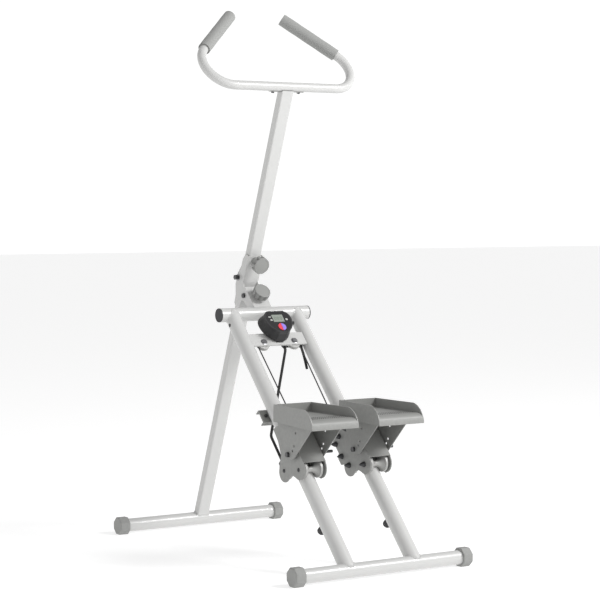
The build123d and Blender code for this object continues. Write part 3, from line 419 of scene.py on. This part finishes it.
def cell_relief() -> Tree:
    """Open-pored foam: distance to the nearest of many scattered points makes small round pits."""
    weave = Weave("foam_cells", {"Scale": 900.0}, {"Height": "NodeSocketFloat"})
    ins = weave.source.outputs
    cells = weave.add("TexVoronoi", Vector=ins["Vector"], Scale=ins["Scale"])
    soft = weave.add("MapRange", Value=cells.outputs["Distance"], From_Min=0.05, From_Max=0.6)
    return weave.done(Height=soft.outputs[0])


def braid_relief() -> Tree:
    """Braided cover: two sets of slanting ridges cross each other.

    One set is the sine of the cord's run plus its turn, the other of its run less its turn, both
    as angles, and the higher of the two shows.
    """
    run_rate, strands = 2600.0, 6  # radians for each metre of cord, and strands each way round
    weave = Weave("braid", {"Scale": 1.0}, {"Height": "NodeSocketFloat"})
    ins = weave.source.outputs
    parts = weave.add("SeparateXYZ", in_0=ins["Vector"])
    run = weave.work("MULTIPLY", parts.outputs["X"], run_rate)
    turn = weave.work("MULTIPLY", parts.outputs["Y"], strands * 2 * math.pi)
    sets = [weave.work("SINE", weave.work(way, run, turn)) for way in ("ADD", "SUBTRACT")]
    high = weave.work("MAXIMUM", *sets)
    return weave.done(Height=weave.work("MULTIPLY", high, ins["Scale"]))


class Relief(Enum):
    """The fine relief of a finish, named by its node group."""

    PEEL = "orange_peel"
    GRAIN = "mould_grain"
    TURNED = "turned_lines"
    FOAM = "foam_cells"
    BRAID = "braid"


def build_groups() -> None:
    """Makes every node group once."""
    mottle_group()
    dust_group()
    rub_and_highlight_group()
    noise_relief(Relief.PEEL.value, 2.0, (1.0, 1.0, 1.0))
    noise_relief(Relief.GRAIN.value, 8.0, (1.0, 1.0, 1.0))
    noise_relief(Relief.TURNED.value, 3.0, (12.0, 1.0, 1.0))
    cell_relief()
    braid_relief()


# ------------------------------------------------------------------ finishes
@dataclass(frozen=True)
class Finish:
    """One procedural finish.

    Colour is linear. Relief height is in metres and its scale in features per metre.
    """

    slot: str
    colour: tuple[float, float, float]
    roughness: float
    relief: Relief
    scale: float
    height: float
    metallic: float = 0.0
    coat: float = 0.0
    mottle: float = 0.12
    dust: float = 0.15
    # the two fields below make convex edges lighter: partly rubbed through, partly a painted highlight
    rub_and_highlight: float = 0.0
    bare: tuple[float, float, float] = (0.5, 0.5, 0.5)
    sheen: float = 0.0

    def material(self) -> bpy.types.Material:
        """Builds the material from the shared groups."""
        material = bpy.data.materials.new(self.slot)
        material.use_nodes = True
        tree = material.node_tree
        shader = tree.nodes["Principled BSDF"]
        place = add_node(tree, "TexCoord").outputs["Object"]
        own_map = place
        if self.relief is Relief.BRAID:
            own_map = add_node(tree, "UVMap", uv_map="run").outputs[0]
        mottle = self._group(tree, "mottle", place, Color=(*self.colour, 1),
                             Roughness=self.roughness, Amount=self.mottle)
        dust = self._group(tree, "dust", place, Color=mottle.outputs["Color"],
                           Amount=self.dust)
        # lighter convex edges: partly rubbed through, partly a painted highlight
        rub_and_highlight = self._group(tree, "edge_rub_and_highlight", place, Color=dust.outputs["Color"],
                           Bare=(*self.bare, 1), Amount=self.rub_and_highlight)
        relief = self._group(tree, self.relief.value, own_map, Scale=self.scale)
        bump = add_node(tree, "Bump", Strength=1.0, Distance=self.height,
                        Height=relief.outputs["Height"])
        feeds = {"Base Color": rub_and_highlight.outputs["Color"], "Roughness": mottle.outputs["Roughness"],
                 "Normal": bump.outputs["Normal"], "Metallic": self.metallic,
                 "Coat Weight": self.coat, "Sheen Weight": self.sheen}
        for label, value in feeds.items():
            fill(tree, shader.inputs[label], value)
        return material

    @staticmethod
    def _group(tree: Tree, name: str, vector: Socket, **sockets: object) -> bpy.types.Node:
        """Places a group and fills its sockets."""
        node = tree.nodes.new("ShaderNodeGroup")
        node.node_tree = bpy.data.node_groups[name]
        for label, value in {"Vector": vector, **sockets}.items():
            fill(tree, node.inputs[label], value)
        return node


# grey paint, grey plastic and dark steel get lighter convex edges: partly rubbed through, partly a painted
# highlight
FINISHES = [
    Finish("white_paint", (0.55, 0.55, 0.542), 0.36, Relief.PEEL, 520, 1e-5,
           coat=0.2, mottle=0.015, dust=0.02),
    Finish("grey_paint", (0.25, 0.252, 0.243), 0.45, Relief.PEEL, 620, 1.5e-5,
           mottle=0.03, dust=0.02, rub_and_highlight=0.08, bare=(0.52, 0.52, 0.5)),
    # a darker copy of the grey paint for the tread dots: painted shade
    Finish("tread_paint", (0.13, 0.131, 0.126), 0.55, Relief.PEEL, 620, 1e-5,
           mottle=0.05, dust=0.02),
    Finish("grey_plastic", (0.27, 0.272, 0.264), 0.55, Relief.GRAIN, 1400, 1.5e-5,
           mottle=0.04, dust=0.03, rub_and_highlight=0.06),
    Finish("dark_plastic", (0.022, 0.022, 0.024), 0.5, Relief.GRAIN, 1500, 2e-5, dust=0.05),
    Finish("dark_rubber", (0.035, 0.035, 0.036), 0.75, Relief.GRAIN, 900, 4e-5, dust=0.12),
    Finish("dark_steel", (0.06, 0.06, 0.063), 0.4, Relief.TURNED, 700, 1e-5,
           metallic=0.7, mottle=0.2, dust=0.03, rub_and_highlight=0.3, bare=(0.3, 0.3, 0.3)),
    Finish("zinc_steel", (0.30, 0.30, 0.31), 0.35, Relief.TURNED, 700, 1e-5,
           metallic=0.9, mottle=0.15, dust=0.03),
    Finish("roller_steel", (0.40, 0.40, 0.39), 0.48, Relief.TURNED, 420, 1.5e-5,
           metallic=0.3, mottle=0.08, dust=0.02),
    Finish("pulley_plastic", (0.45, 0.45, 0.44), 0.45, Relief.GRAIN, 1200, 1e-5, dust=0.03),
    Finish("foam", (0.29, 0.293, 0.285), 0.85, Relief.FOAM, 1100, 6e-5,
           mottle=0.05, dust=0.03, sheen=0.15),
    Finish("console_black", (0.016, 0.016, 0.017), 0.45, Relief.GRAIN, 1600, 2e-5, dust=0.03),
    Finish("console_gloss", (0.014, 0.014, 0.015), 0.22, Relief.PEEL, 300, 1e-5,
           coat=0.4, dust=0.01),
    Finish("lcd", (0.27, 0.30, 0.265), 0.25, Relief.PEEL, 300, 1e-6,
           coat=0.3, mottle=0.05, dust=0.01),
    Finish("red_button", (0.72, 0.05, 0.08), 0.4, Relief.GRAIN, 1500, 1e-5,
           mottle=0.05, dust=0.02),
    Finish("purple_button", (0.28, 0.20, 0.72), 0.4, Relief.GRAIN, 1500, 1e-5,
           mottle=0.05, dust=0.02),
    Finish("cable_black", (0.012, 0.012, 0.012), 0.5, Relief.BRAID, 0.5, 1e-4, dust=0.03),
    Finish("cord_black", (0.011, 0.011, 0.011), 0.75, Relief.BRAID, 1.0, 2.5e-4,
           dust=0.03, sheen=0.05),
]


@dataclass
class Palette:
    """The finished materials by slot, and the dressing of CAD nodes."""

    materials: dict[str, bpy.types.Material]

    @classmethod
    def mixed(cls) -> "Palette":
        """Builds every finish."""
        return cls({finish.slot: finish.material() for finish in FINISHES})

    def dress(self) -> None:
        """Gives each CAD node the finish of its slot."""
        rows = frame["record"]["subparts"]
        for row in rows:
            for slot in frame["nodes"][row["node"]].material_slots:
                slot.material = self.materials[row["material_slot"]]
        LOG.info("dressed %d nodes", len(rows))

    def settle(self, body: bpy.types.Object, slot: str, rides: str, *nodes: str) -> None:
        """Attaches a piece to its moving body and hides the CAD nodes it stands for.

        Args:
            body: the piece.
            slot: its finish slot; not used.
            rides: the body it moves with.
            nodes: the CAD nodes it stands for, if any.
        """
        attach(body, rides)
        if nodes:
            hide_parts(*nodes)


# ------------------------------------------------------------------ grips and knobs
@dataclass
class Grips:
    """Foam sleeves on the handlebar ends, sizes in millimetres."""

    palette: Palette
    rim: float = 2.6
    swell: float = 0.35

    def build(self) -> None:
        """Replaces both sleeves.

        Each is a turned skin. Its radius is the CAD sleeve's less the swell, plus the swell times
        the squared sine of three half turns along it. Each end is a cone let in by the rim.
        """
        for side in ("left", "right"):
            node = f"{side}_grip"
            centre, axis, low, high, radius = self._measure(node_points(node))
            wall = radius - self.swell
            share = np.linspace(0, 1, 40)[1:-1]
            body = np.column_stack([low + self.rim + (high - low - 2 * self.rim) * share,
                                    wall + self.swell * np.sin(3 * math.pi * share) ** 2])
            depth = self.rim * (1 - np.sin(np.linspace(0, math.pi / 2, 7)))
            start = np.column_stack([low + depth, wall - depth])
            end = np.column_stack([high - depth, wall - depth])[::-1]
            skin = turned(np.vstack([start, body, end]), centre, axis, 48)
            sleeve = piece(f"foam_{side}_grip", [skin], self.palette.materials["foam"], 50)
            self.palette.settle(sleeve, "foam", "handle_post", node)

    @staticmethod
    def _measure(points: Array) -> tuple[Array, Array, float, float, float]:
        """Measures a sleeve, whose axis is the way its points spread most.

        Args:
            points: its corner points, in metres.

        Returns:
            Its middle and axis, then both ends and the radius in millimetres.
        """
        middle = points.mean(0)
        axis = np.linalg.svd(points - middle, full_matrices=False)[2][0]
        if axis[2] < 0:
            axis = -axis
        reach = (points - middle) @ axis
        centre = middle - axis * reach.mean()
        spread = points - centre - np.outer((points - centre) @ axis, axis)
        radius = np.linalg.norm(spread, axis=1).max()
        return centre, axis, reach.min() / MM, reach.max() / MM, radius / MM


@dataclass
class Knob:
    """Scalloped lock knob, sizes in millimetres."""

    palette: Palette
    name: str
    lobes: int = 10
    notch: float = 4.2
    radius: float = 24.5
    height: float = 20.0
    hub: float = 11.0

    def build(self) -> None:
        """Replaces the knob.

        The radius is a function of height and angle: a round hub, a head that loses the notch's
        depth times a power of the cosine of lobes times the angle, and a round domed face.
        """
        joint = JOINTS[f"{self.name}_spin"]
        axis, origin = unit(joint["axis"]), np.asarray(joint["pos_m"])
        levels = (node_points(self.name) - origin) @ axis / MM
        base, top = levels.min(), levels.max()
        back, full = top - self.height, self.radius
        heights, plain, share = np.array([  # height, radius and share of the notch
            (base, self.hub, 0), (back - 3, self.hub, 0), (back - 1, self.hub + 2, 0),
            (back, 19, 0.2), (back + 0.6, 22, 0.8), (back + 2, full, 1), (top - 3.2, full, 1),
            (top - 2.4, full, 0.7), (top - 2.0, full - 0.1, 0.15), (top - 1.2, full - 0.3, 0.1),
            (top - 0.5, full - 0.9, 0.1), (top, full - 2.0, 0.05), (top, full - 4.2, 0),
            (top - 0.6, full - 4.8, 0), (top - 0.5, full - 6, 0), (top - 0.1, 8, 0), (top, 2, 0),
        ]).T[:, :, None]
        corners = self.lobes * 12
        cut = np.clip(np.cos(self.lobes * once_round(corners)), 0, 1) ** 0.8
        radii = (plain - self.notch * share * cut) * MM
        rings = radii[..., None] * circle(axis, corners)
        skin = surface(origin + heights[..., None] * MM * axis + rings, heights[:, 0] * MM)
        head = piece(f"scalloped_{self.name}", [skin], self.palette.materials["grey_plastic"], 38)
        self.palette.settle(head, "grey_plastic", self.name, self.name)


# ------------------------------------------------------------------ fasteners
@dataclass
class CarriageFasteners:
    """Axle heads, pointed nuts and the cable stud of one carriage, sizes in millimetres.

    The spare nuts and the stud have their places up the rails and off them.
    """

    palette: Palette
    side: str
    plate_half: float = 35.0
    spare: tuple[tuple[float, float], ...] = ((380, -41), (422, -42), (429, -15))
    stud: tuple[float, float] = (452.0, 2.0)
    nut: float = 14.0
    shank: float = 3.9

    def build(self) -> None:
        """Replaces the carriage's bolts: button heads outside, nuts on the inner plate."""
        sign = -1 if self.side == "left" else 1
        middle = RAIL_ACROSS * sign
        inward = X * -sign
        reach = inward * self.plate_half * MM
        parts = []
        for place in ("low_front", "low_rear", "high_front"):
            axle = np.asarray(JOINTS[f"{self.side}_{place}_spin"]["pos_m"])
            parts += [self._shank(axle - reach, inward), self._button(axle - reach, -inward),
                      *self._nut(axle + reach, inward)]
        for along, off in self.spare:
            parts += self._nut(on_rail(middle, along, off) + reach, inward)
        outline = [(0, 5), (7.5, 5), (8.6, 4.6), (9, 3.6)]
        parts.append(turned(outline, on_rail(middle, *self.stud) + reach, inward))
        steel = self.palette.materials["dark_steel"]
        bolts = piece(f"turned_{self.side}_carriage_bolts", parts, steel, 35)
        self.palette.settle(bolts, "dark_steel", f"{self.side}_carriage",
                            f"{self.side}_carriage_bolts")

    def _shank(self, start: Array, axis: Array) -> Part:
        """The plain length between the two plates."""
        length = 2 * self.plate_half
        return turned([(0, self.shank), (length, self.shank)], start, axis, 20)

    def _button(self, seat: Array, axis: Array) -> Part:
        """A low domed head: the radius falls as a quarter ellipse."""
        dome = [(0.3 + 2.4 * math.sin(a), 5.6 * math.cos(a)) for a in np.linspace(0, 1.3, 8)]
        socket = [(1.6, 1.4), (1.5, 0.4)]
        return turned([(0, 5.6)] + dome + socket, seat, axis, 28)

    def _nut(self, seat: Array, axis: Array) -> list[Part]:
        """A washer and a pointed nut whose radius falls smoothly to its tip."""
        washer = turned([(0, 8.0), (0.9, 8.0), (1.2, 7.6)], seat, axis, 32)
        cone = [(3.0 + self.nut * t, 6.4 * (1 - t ** 1.3) + 1.0) for t in np.linspace(0, 0.97, 12)]
        return [washer, turned([(1.0, 7.4)] + cone, seat, axis, 28)]


@dataclass
class Washers:
    """Round washers under heads and nuts that lie on flat plates, sizes in millimetres."""

    palette: Palette
    outer: float = 9.5
    thick: float = 1.2
    plate_front: float = 12.0

    def build(self) -> None:
        """Sets one under each bolt head on the pulley plate and one at each pivot bolt's end."""
        zinc = self.palette.materials["zinc_steel"]
        parts = [self._washer(on_rail(x, PULLEY_ALONG, self.plate_front), RAIL_OUT)
                 for x in (-PULLEY_ACROSS, PULLEY_ACROSS)]
        on_frame = piece("plate_washers", parts, zinc, 35)
        self.palette.settle(on_frame, "zinc_steel", "rail_frame")
        post = np.asarray(JOINTS["post_fold"]["pos_m"])
        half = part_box("hinge_bracket")[1][0]
        ends = [self._washer(post + X * sign * half, X * sign) for sign in (-1, 1)]
        on_leg = piece("post_pivot_washers", ends, zinc, 35)
        self.palette.settle(on_leg, "zinc_steel", "front_leg")

    def _washer(self, seat: Array, axis: Array) -> Part:
        """A flat turned disc with a rolled rim."""
        rim = [(0, self.outer - 0.4), (0.4, self.outer), (self.thick - 0.3, self.outer),
               (self.thick, self.outer - 0.5)]
        return turned(rim, seat, axis, 40)


# ------------------------------------------------------------------ welds
@dataclass
class Welds:
    """Weld beads where tubes meet, sizes in millimetres."""

    palette: Palette
    bead: float = 1.7
    ripple: float = 0.22
    ripples: int = 46
    stabilizer: float = 19.0
    top: float = 19.5
    rail_half: tuple[float, float] = (21.0, 21.0)
    leg_half: tuple[float, float] = (20.0, 12.5)
    leg_power: float = 0.32

    def build(self) -> None:
        """Runs a bead round each tube joint."""
        white = self.palette.materials["white_paint"]
        span = np.linalg.norm(self._top_axis() - RAIL_FOOT) / MM
        beads = []
        for across in (-RAIL_ACROSS, RAIL_ACROSS):
            low, high = on_rail(across, 0, 0), on_rail(across, span, 0)
            beads += [self._bead(low, (RAIL_DIR, RAIL_OUT), self.rail_half, 1.0, self.stabilizer),
                      self._bead(high, (-RAIL_DIR, RAIL_OUT), self.rail_half, 1.0, self.top)]
        on_frame = piece("frame_welds", beads, white, 60)
        self.palette.settle(on_frame, "white_paint", "rail_frame")
        foot = np.array([0, -RAIL_FOOT[1], RAIL_FOOT[2]])
        leg = self._bead(foot, (LEG_DIR, LEG_OUT), self.leg_half, self.leg_power,
                         self.stabilizer)
        on_leg = piece("leg_weld", [leg], white, 60)
        self.palette.settle(on_leg, "white_paint", "front_leg")

    def _top_axis(self) -> Array:
        """The middle of the top cross tube."""
        low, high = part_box("top_tube")
        return (np.asarray(low) + np.asarray(high)) / 2

    def _bead(self, foot: Array, ways: tuple[Array, Array], half: tuple[float, float],
              power: float, cross: float) -> Part:
        """The seam of a tube on a round cross tube.

        Its height at each angle is the root of the cross tube's radius squared less the squared
        distance of the tube's wall off that axis.

        Args:
            foot: where the two axes meet, in metres.
            ways: the directions along the tube and off it.
            half: half the tube's width and height.
            power: the power of its section, a superellipse.
            cross: the cross tube's radius.

        Returns:
            The closed skin.
        """
        along, out = ways
        angle = once_round(220)
        across, off = superellipse(angle, half, power)
        height = np.sqrt(np.clip(cross ** 2 - off ** 2, 0, None))
        wall = across[:, None] * X + off[:, None] * out
        path = foot + (wall + height[:, None] * along) * MM
        radius = (self.bead + self.ripple * np.sin(self.ripples * angle)) * MM
        return closed_bead(path, radius, wall + 0.6 * along * cross)


# ------------------------------------------------------------------ pedals
@dataclass
class Tread:
    """Raised dots on the tray floor near the heel, sizes in millimetres.

    The tray's half width grows by the flare over its length, from the toe to the heel.
    """

    palette: Palette
    side: str
    rows: int = 9
    pitch: float = 5.6
    row_share: float = 0.9
    stagger: float = 0.25
    dot: float = 1.35
    rise: float = 0.7
    floor: float = 409.0
    heel: float = -386.0
    toe: float = -204.0
    length: float = 207.0
    toe_half: float = 60.0
    flare: float = 12.0
    margin: float = 6.0

    def build(self) -> None:
        """Presses rows of small domes up from the floor, each a turned cap a few faces high; they take a darker
        copy of the floor's grey paint as painted shade.
        """
        middle = -RAIL_ACROSS if self.side == "left" else RAIL_ACROSS
        turn = np.array([0.0, 0.6, 1.2])
        cap = zip(self.rise * np.sin(turn), self.dot * np.cos(turn))
        dome = [(-0.3, self.dot), *cap]
        parts = []
        for row in range(self.rows):
            y = self.heel + row * self.pitch * self.row_share
            half = self.toe_half + self.flare * (self.toe - y) / self.length - self.margin
            count = int(2 * half / self.pitch)
            for column in range(count):
                step = column + 0.5 + self.stagger * (row % 2)
                seat = np.array([middle - half + step * 2 * half / count, y, self.floor]) * MM
                parts.append(turned(dome, seat, UP, 8))
        # painted shade: the dots get a darker copy of the floor's grey paint
        paint = self.palette.materials["tread_paint"]
        dots = piece(f"{self.side}_tread_dots", parts, paint, 60)
        self.palette.settle(dots, "grey_paint", f"{self.side}_pedal")


# ------------------------------------------------------------------ cords
def along_spline(points: list[Array], name: str) -> Array:
    """Reads a smooth line off a NURBS spline whose control points are the route.

    Args:
        points: the route in metres.
        name: a name for the short-lived curve.

    Returns:
        Points along the spline, close together.
    """
    curve = bpy.data.curves.new(name, "CURVE")
    curve.dimensions = "3D"
    curve.resolution_u = 20
    spline = curve.splines.new("NURBS")
    spline.points.add(len(points) - 1)
    spline.points.foreach_set("co", np.hstack([points, np.ones((len(points), 1))]).reshape(-1))
    spline.order_u = 3
    spline.use_endpoint_u = True
    holder = bpy.data.objects.new(name, curve)
    bpy.context.scene.collection.objects.link(holder)
    bpy.context.view_layer.update()
    line = bpy.data.meshes.new_from_object(holder)
    path = np.empty(len(line.vertices) * 3)
    line.vertices.foreach_get("co", path)
    bpy.data.objects.remove(holder)
    bpy.data.curves.remove(curve)
    bpy.data.meshes.remove(line)
    return path.reshape(-1, 3)


@dataclass
class Cords:
    """The two elastic cords and the drive cable, sizes in millimetres."""

    palette: Palette
    cord: float = 7.6
    cable: float = 3.6
    wrap: float = 18.2

    def build(self) -> None:
        """Lays the hanging cord, the stretched cord and both halves of the cable."""
        self._hanging()
        self._stretched()
        self._cable()

    def _rounded_end(self, path: Array, radius: float) -> tuple[Array, Array]:
        """Gives a path a blunt tip, where the radius falls with a cosine to 0.62 of itself.

        Args:
            path: the middle line, in metres.
            radius: the cord's radius, in metres.

        Returns:
            The path with the tip's points, and a radius for each.
        """
        direction = unit(path[-1] - path[-2])
        steps = np.linspace(0, math.pi / 2, 6)[1:]
        inset = 0.35 * radius
        tip = path[-1] - direction * inset + direction * inset * np.sin(steps)[:, None]
        keep = (path - path[-1]) @ direction < -inset
        sizes = np.concatenate([np.full(keep.sum(), radius),
                                radius * (0.62 + 0.38 * np.cos(steps))])
        return np.vstack([path[keep], tip]), sizes

    def _hanging(self) -> None:
        """The right cord: out of its sleeve and down, to a bare end."""
        route = [on_rail(77, 738, -6), on_rail(77.5, 722, -9), on_rail(80, 700, -19),
                 on_rail(83, 677, -32)]
        path = along_spline(route, "right_cord_route")
        shaped, sizes = self._rounded_end(path, self.cord / 2 * MM)
        skin = tube(shaped, sizes, RAIL_OUT, 24)
        body = piece("braided_right_cord", [skin], self.palette.materials["cord_black"], 50)
        self.palette.settle(body, "cord_black", "rail_frame", "right_cord")

    def _stretched(self) -> None:
        """The left cord: from its sleeve behind the left rail to the clamp on its carriage."""
        start, knee = np.array([23, 732, -6]), np.array([-109, 478, -60])
        bend = 14 * unit(knee - start)
        route = [on_rail(23, 748, -6), on_rail(*start), on_rail(*(start + bend)),
                 on_rail(*(knee - bend)), on_rail(*knee), on_rail(-109, 462, -60),
                 on_rail(-109, 370, -60)]
        path = along_spline(route, "left_cord_route")
        skin = tube(path, self.cord / 2 * MM, RAIL_OUT, 24)
        body = piece("braided_left_cord", [skin], self.palette.materials["cord_black"], 50)
        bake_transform(body)
        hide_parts("left_cord")

    def _cable(self) -> None:
        """The drive cable: a top run round both pulleys and a straight side to each carriage."""
        black = self.palette.materials["cable_black"]
        foot_across, foot, off = 64.0, 457.4, 2.0
        radius = self.cable / 2 * MM
        angle = np.linspace(math.pi, math.pi / 2, 16)
        arc = list(zip(self.wrap * np.cos(angle), PULLEY_ALONG + self.wrap * np.sin(angle)))
        left_arc = [on_rail(-PULLEY_ACROSS + x, along, off) for x, along in arc]
        right_arc = [on_rail(PULLEY_ACROSS - x, along, off) for x, along in arc[::-1]]
        run = tube(np.array(left_arc + right_arc), radius, RAIL_OUT, 14)
        over = piece("cable_over_pulleys", [run], black, 50)
        self.palette.settle(over, "cable_black", "rail_frame", "drive_cable")
        for side, sign in (("left", -1), ("right", 1)):
            low = on_rail(sign * foot_across, foot, off)
            high = on_rail(sign * (PULLEY_ACROSS + self.wrap), PULLEY_ALONG, off)
            share = np.linspace(0, 1, 60)[:, None]
            skin = tube(low + share * (high - low), radius, RAIL_OUT, 14)
            half = piece(f"cable_{side}_side", [skin], black, 50)
            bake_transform(half)


# ------------------------------------------------------------------ console trim
@dataclass
class ConsoleTrim:
    """Plain blocks and digits on the console's face, sizes in millimetres.

    Each mark and each bar of a digit is its place across and up, its width and its height.
    """

    palette: Palette
    rise: float = 0.25
    along: float = 786.0
    lcd_up: float = 12.0
    lcd_sink: float = 0.5
    digit_pitch: float = 9.5
    marks: tuple[tuple[float, ...], ...] = ((-26, 17, 8, 4), (-24, 6, 7, 6), (26, 7, 7, 7))
    nought: tuple[tuple[float, ...], ...] = (
        (0, 4.5, 4, 0.9), (2.5, 2.2, 0.9, 3.6), (2.5, -2.2, 0.9, 3.6),
        (0, -4.5, 4, 0.9), (-2.5, -2.2, 0.9, 3.6), (-2.5, 2.2, 0.9, 3.6))

    def build(self) -> None:
        """Prints the small marks beside the display and three noughts on it."""
        centre = self._face_centre()
        light = Finish("console_print", (0.42, 0.43, 0.41), 0.5, Relief.GRAIN, 1500, 1e-5,
                       mottle=0.1).material()
        dark = Finish("lcd_segments", (0.05, 0.08, 0.05), 0.4, Relief.GRAIN, 1500, 1e-6,
                      mottle=0.05).material()
        blocks = [self._block(centre, *mark) for mark in self.marks]
        printed = piece("console_marks", blocks, light, 30)
        self.palette.settle(printed, "console_gloss", "rail_frame")
        glass = centre - RAIL_OUT * self.lcd_sink * MM
        digits = [self._block(glass, column * self.digit_pitch + x, self.lcd_up + y, *size)
                  for column in (-1, 0, 1) for x, y, *size in self.nought]
        shown = piece("lcd_digits", digits, dark, 30)
        self.palette.settle(shown, "lcd", "rail_frame")

    def _face_centre(self) -> Array:
        """The middle of the console, brought out to the front of its face."""
        front = (node_points("console_face") @ RAIL_OUT).max()
        middle = on_rail(0, self.along, 0)
        return middle + RAIL_OUT * (front - middle @ RAIL_OUT)

    def _block(self, centre: Array, x: float, y: float, width: float, height: float) -> Part:
        """A rounded pad: a superellipse, raised a little and drawn in at its rim.

        Args:
            centre: the middle of the face it lies on, in metres.
            x: its place across the face.
            y: its place up the face.
            width: its width.
            height: its height.

        Returns:
            The closed skin.
        """
        across, up = superellipse(once_round(32), (width / 2, height / 2), 0.4)
        levels = np.array([-0.1, self.rise * 0.7, self.rise])[:, None, None]
        shares = np.array([1.0, 1.0, 0.9])[:, None, None]
        return surface(centre + (x + shares * across[None, :, None]) * MM * X
                       + (y + shares * up[None, :, None]) * MM * RAIL_DIR
                       + levels * MM * RAIL_OUT)


# ------------------------------------------------------------------ stage
@dataclass
class Studio:
    """Pale floor, soft lights and the camera, in metres."""

    eye: tuple[float, float, float] = (-2.9017, -4.5552, 0.9623)
    azimuth: float = -32.95
    elevation: float = 2.81
    lens: float = 116.8

    def build(self) -> None:
        """Sets the stage round the machine."""
        self._floor()
        self._lights()
        self._camera()

    def _floor(self) -> None:
        """A wide pale floor."""
        near, far = -30.0, 30.0
        mesh = bpy.data.meshes.new("floor")
        corners = [(near, near, 0), (far, near, 0), (far, far, 0), (near, far, 0)]
        mesh.from_pydata(corners, [], [(0, 1, 2, 3)])
        floor = bpy.data.objects.new("floor", mesh)
        bpy.context.scene.collection.objects.link(floor)
        material = bpy.data.materials.new("floor")
        material.use_nodes = True
        shader = material.node_tree.nodes["Principled BSDF"]
        looks = {"Base Color": (0.6, 0.6, 0.6, 1), "Emission Color": WHITE,
                 "Emission Strength": 0.6, "Roughness": 0.9, "Specular IOR Level": 0.1}
        for label, value in looks.items():
            shader.inputs[label].default_value = value
        mesh.materials.append(material)

    def _lights(self) -> None:
        """A surround, a large key from the user's upper right and a weak fill.

        The surround's strength falls evenly from the horizon's to the top's between two heights
        of the line of sight.
        """
        world = bpy.data.worlds.new("surround")
        world.use_nodes = True
        tree = world.node_tree
        direction = add_node(tree, "TexCoord").outputs["Generated"]
        height = add_node(tree, "SeparateXYZ", in_0=direction).outputs["Z"]
        glow = add_node(tree, "MapRange", Value=height, From_Min=0.12, From_Max=0.55,
                        To_Min=1.06, To_Max=0.42)
        surround = tree.nodes["Background"]
        surround.inputs["Color"].default_value = WHITE
        tree.links.new(glow.outputs[0], surround.inputs["Strength"])
        bpy.context.scene.world = world
        target = Vector((0, 0, 0.7))
        lamps = (("key", (2.4, -3.0, 3.2), 1.4, 165),  # place, width and power in watts
                 ("fill", (-3.5, 1.0, 2.6), 2.5, 3))
        for name, place, size, power in lamps:
            light = bpy.data.lights.new(name, "AREA")
            light.energy = power
            light.size = size
            holder = bpy.data.objects.new(name, light)
            holder.location = place
            aim = (target - Vector(place)).to_track_quat("-Z", "Y")
            holder.rotation_euler = aim.to_euler()
            bpy.context.scene.collection.objects.link(holder)
        bpy.context.scene.view_settings.view_transform = "Standard"

    def _camera(self) -> None:
        """A long lens at the user's left, a little above the pedals."""
        azimuth, elevation = math.radians(self.azimuth), math.radians(self.elevation)
        level = math.cos(elevation)
        look = Vector((-math.sin(azimuth) * level, math.cos(azimuth) * level,
                       -math.sin(elevation)))
        camera = bpy.data.cameras.new("camera")
        camera.lens = self.lens
        camera.sensor_width = 36.0
        camera.clip_end = 200.0
        holder = bpy.data.objects.new("camera", camera)
        holder.location = self.eye
        holder.rotation_euler = look.to_track_quat("-Z", "Y").to_euler()
        bpy.context.scene.collection.objects.link(holder)
        bpy.context.scene.camera = holder


def main() -> None:
    """Builds the classes in order and reports each piece."""
    logging.basicConfig(level=logging.INFO, format="%(name)s: %(message)s")
    build_groups()
    palette = Palette.mixed()
    palette.dress()
    Studio().build()
    Cords(palette).build()
    Grips(palette).build()
    for name in ("upper_knob", "lower_knob"):
        Knob(palette, name).build()
    for side in ("left", "right"):
        CarriageFasteners(palette, side).build()
        Tread(palette, side).build()
    Washers(palette).build()
    Welds(palette).build()
    ConsoleTrim(palette).build()


if __name__ == "__main__":
    main()
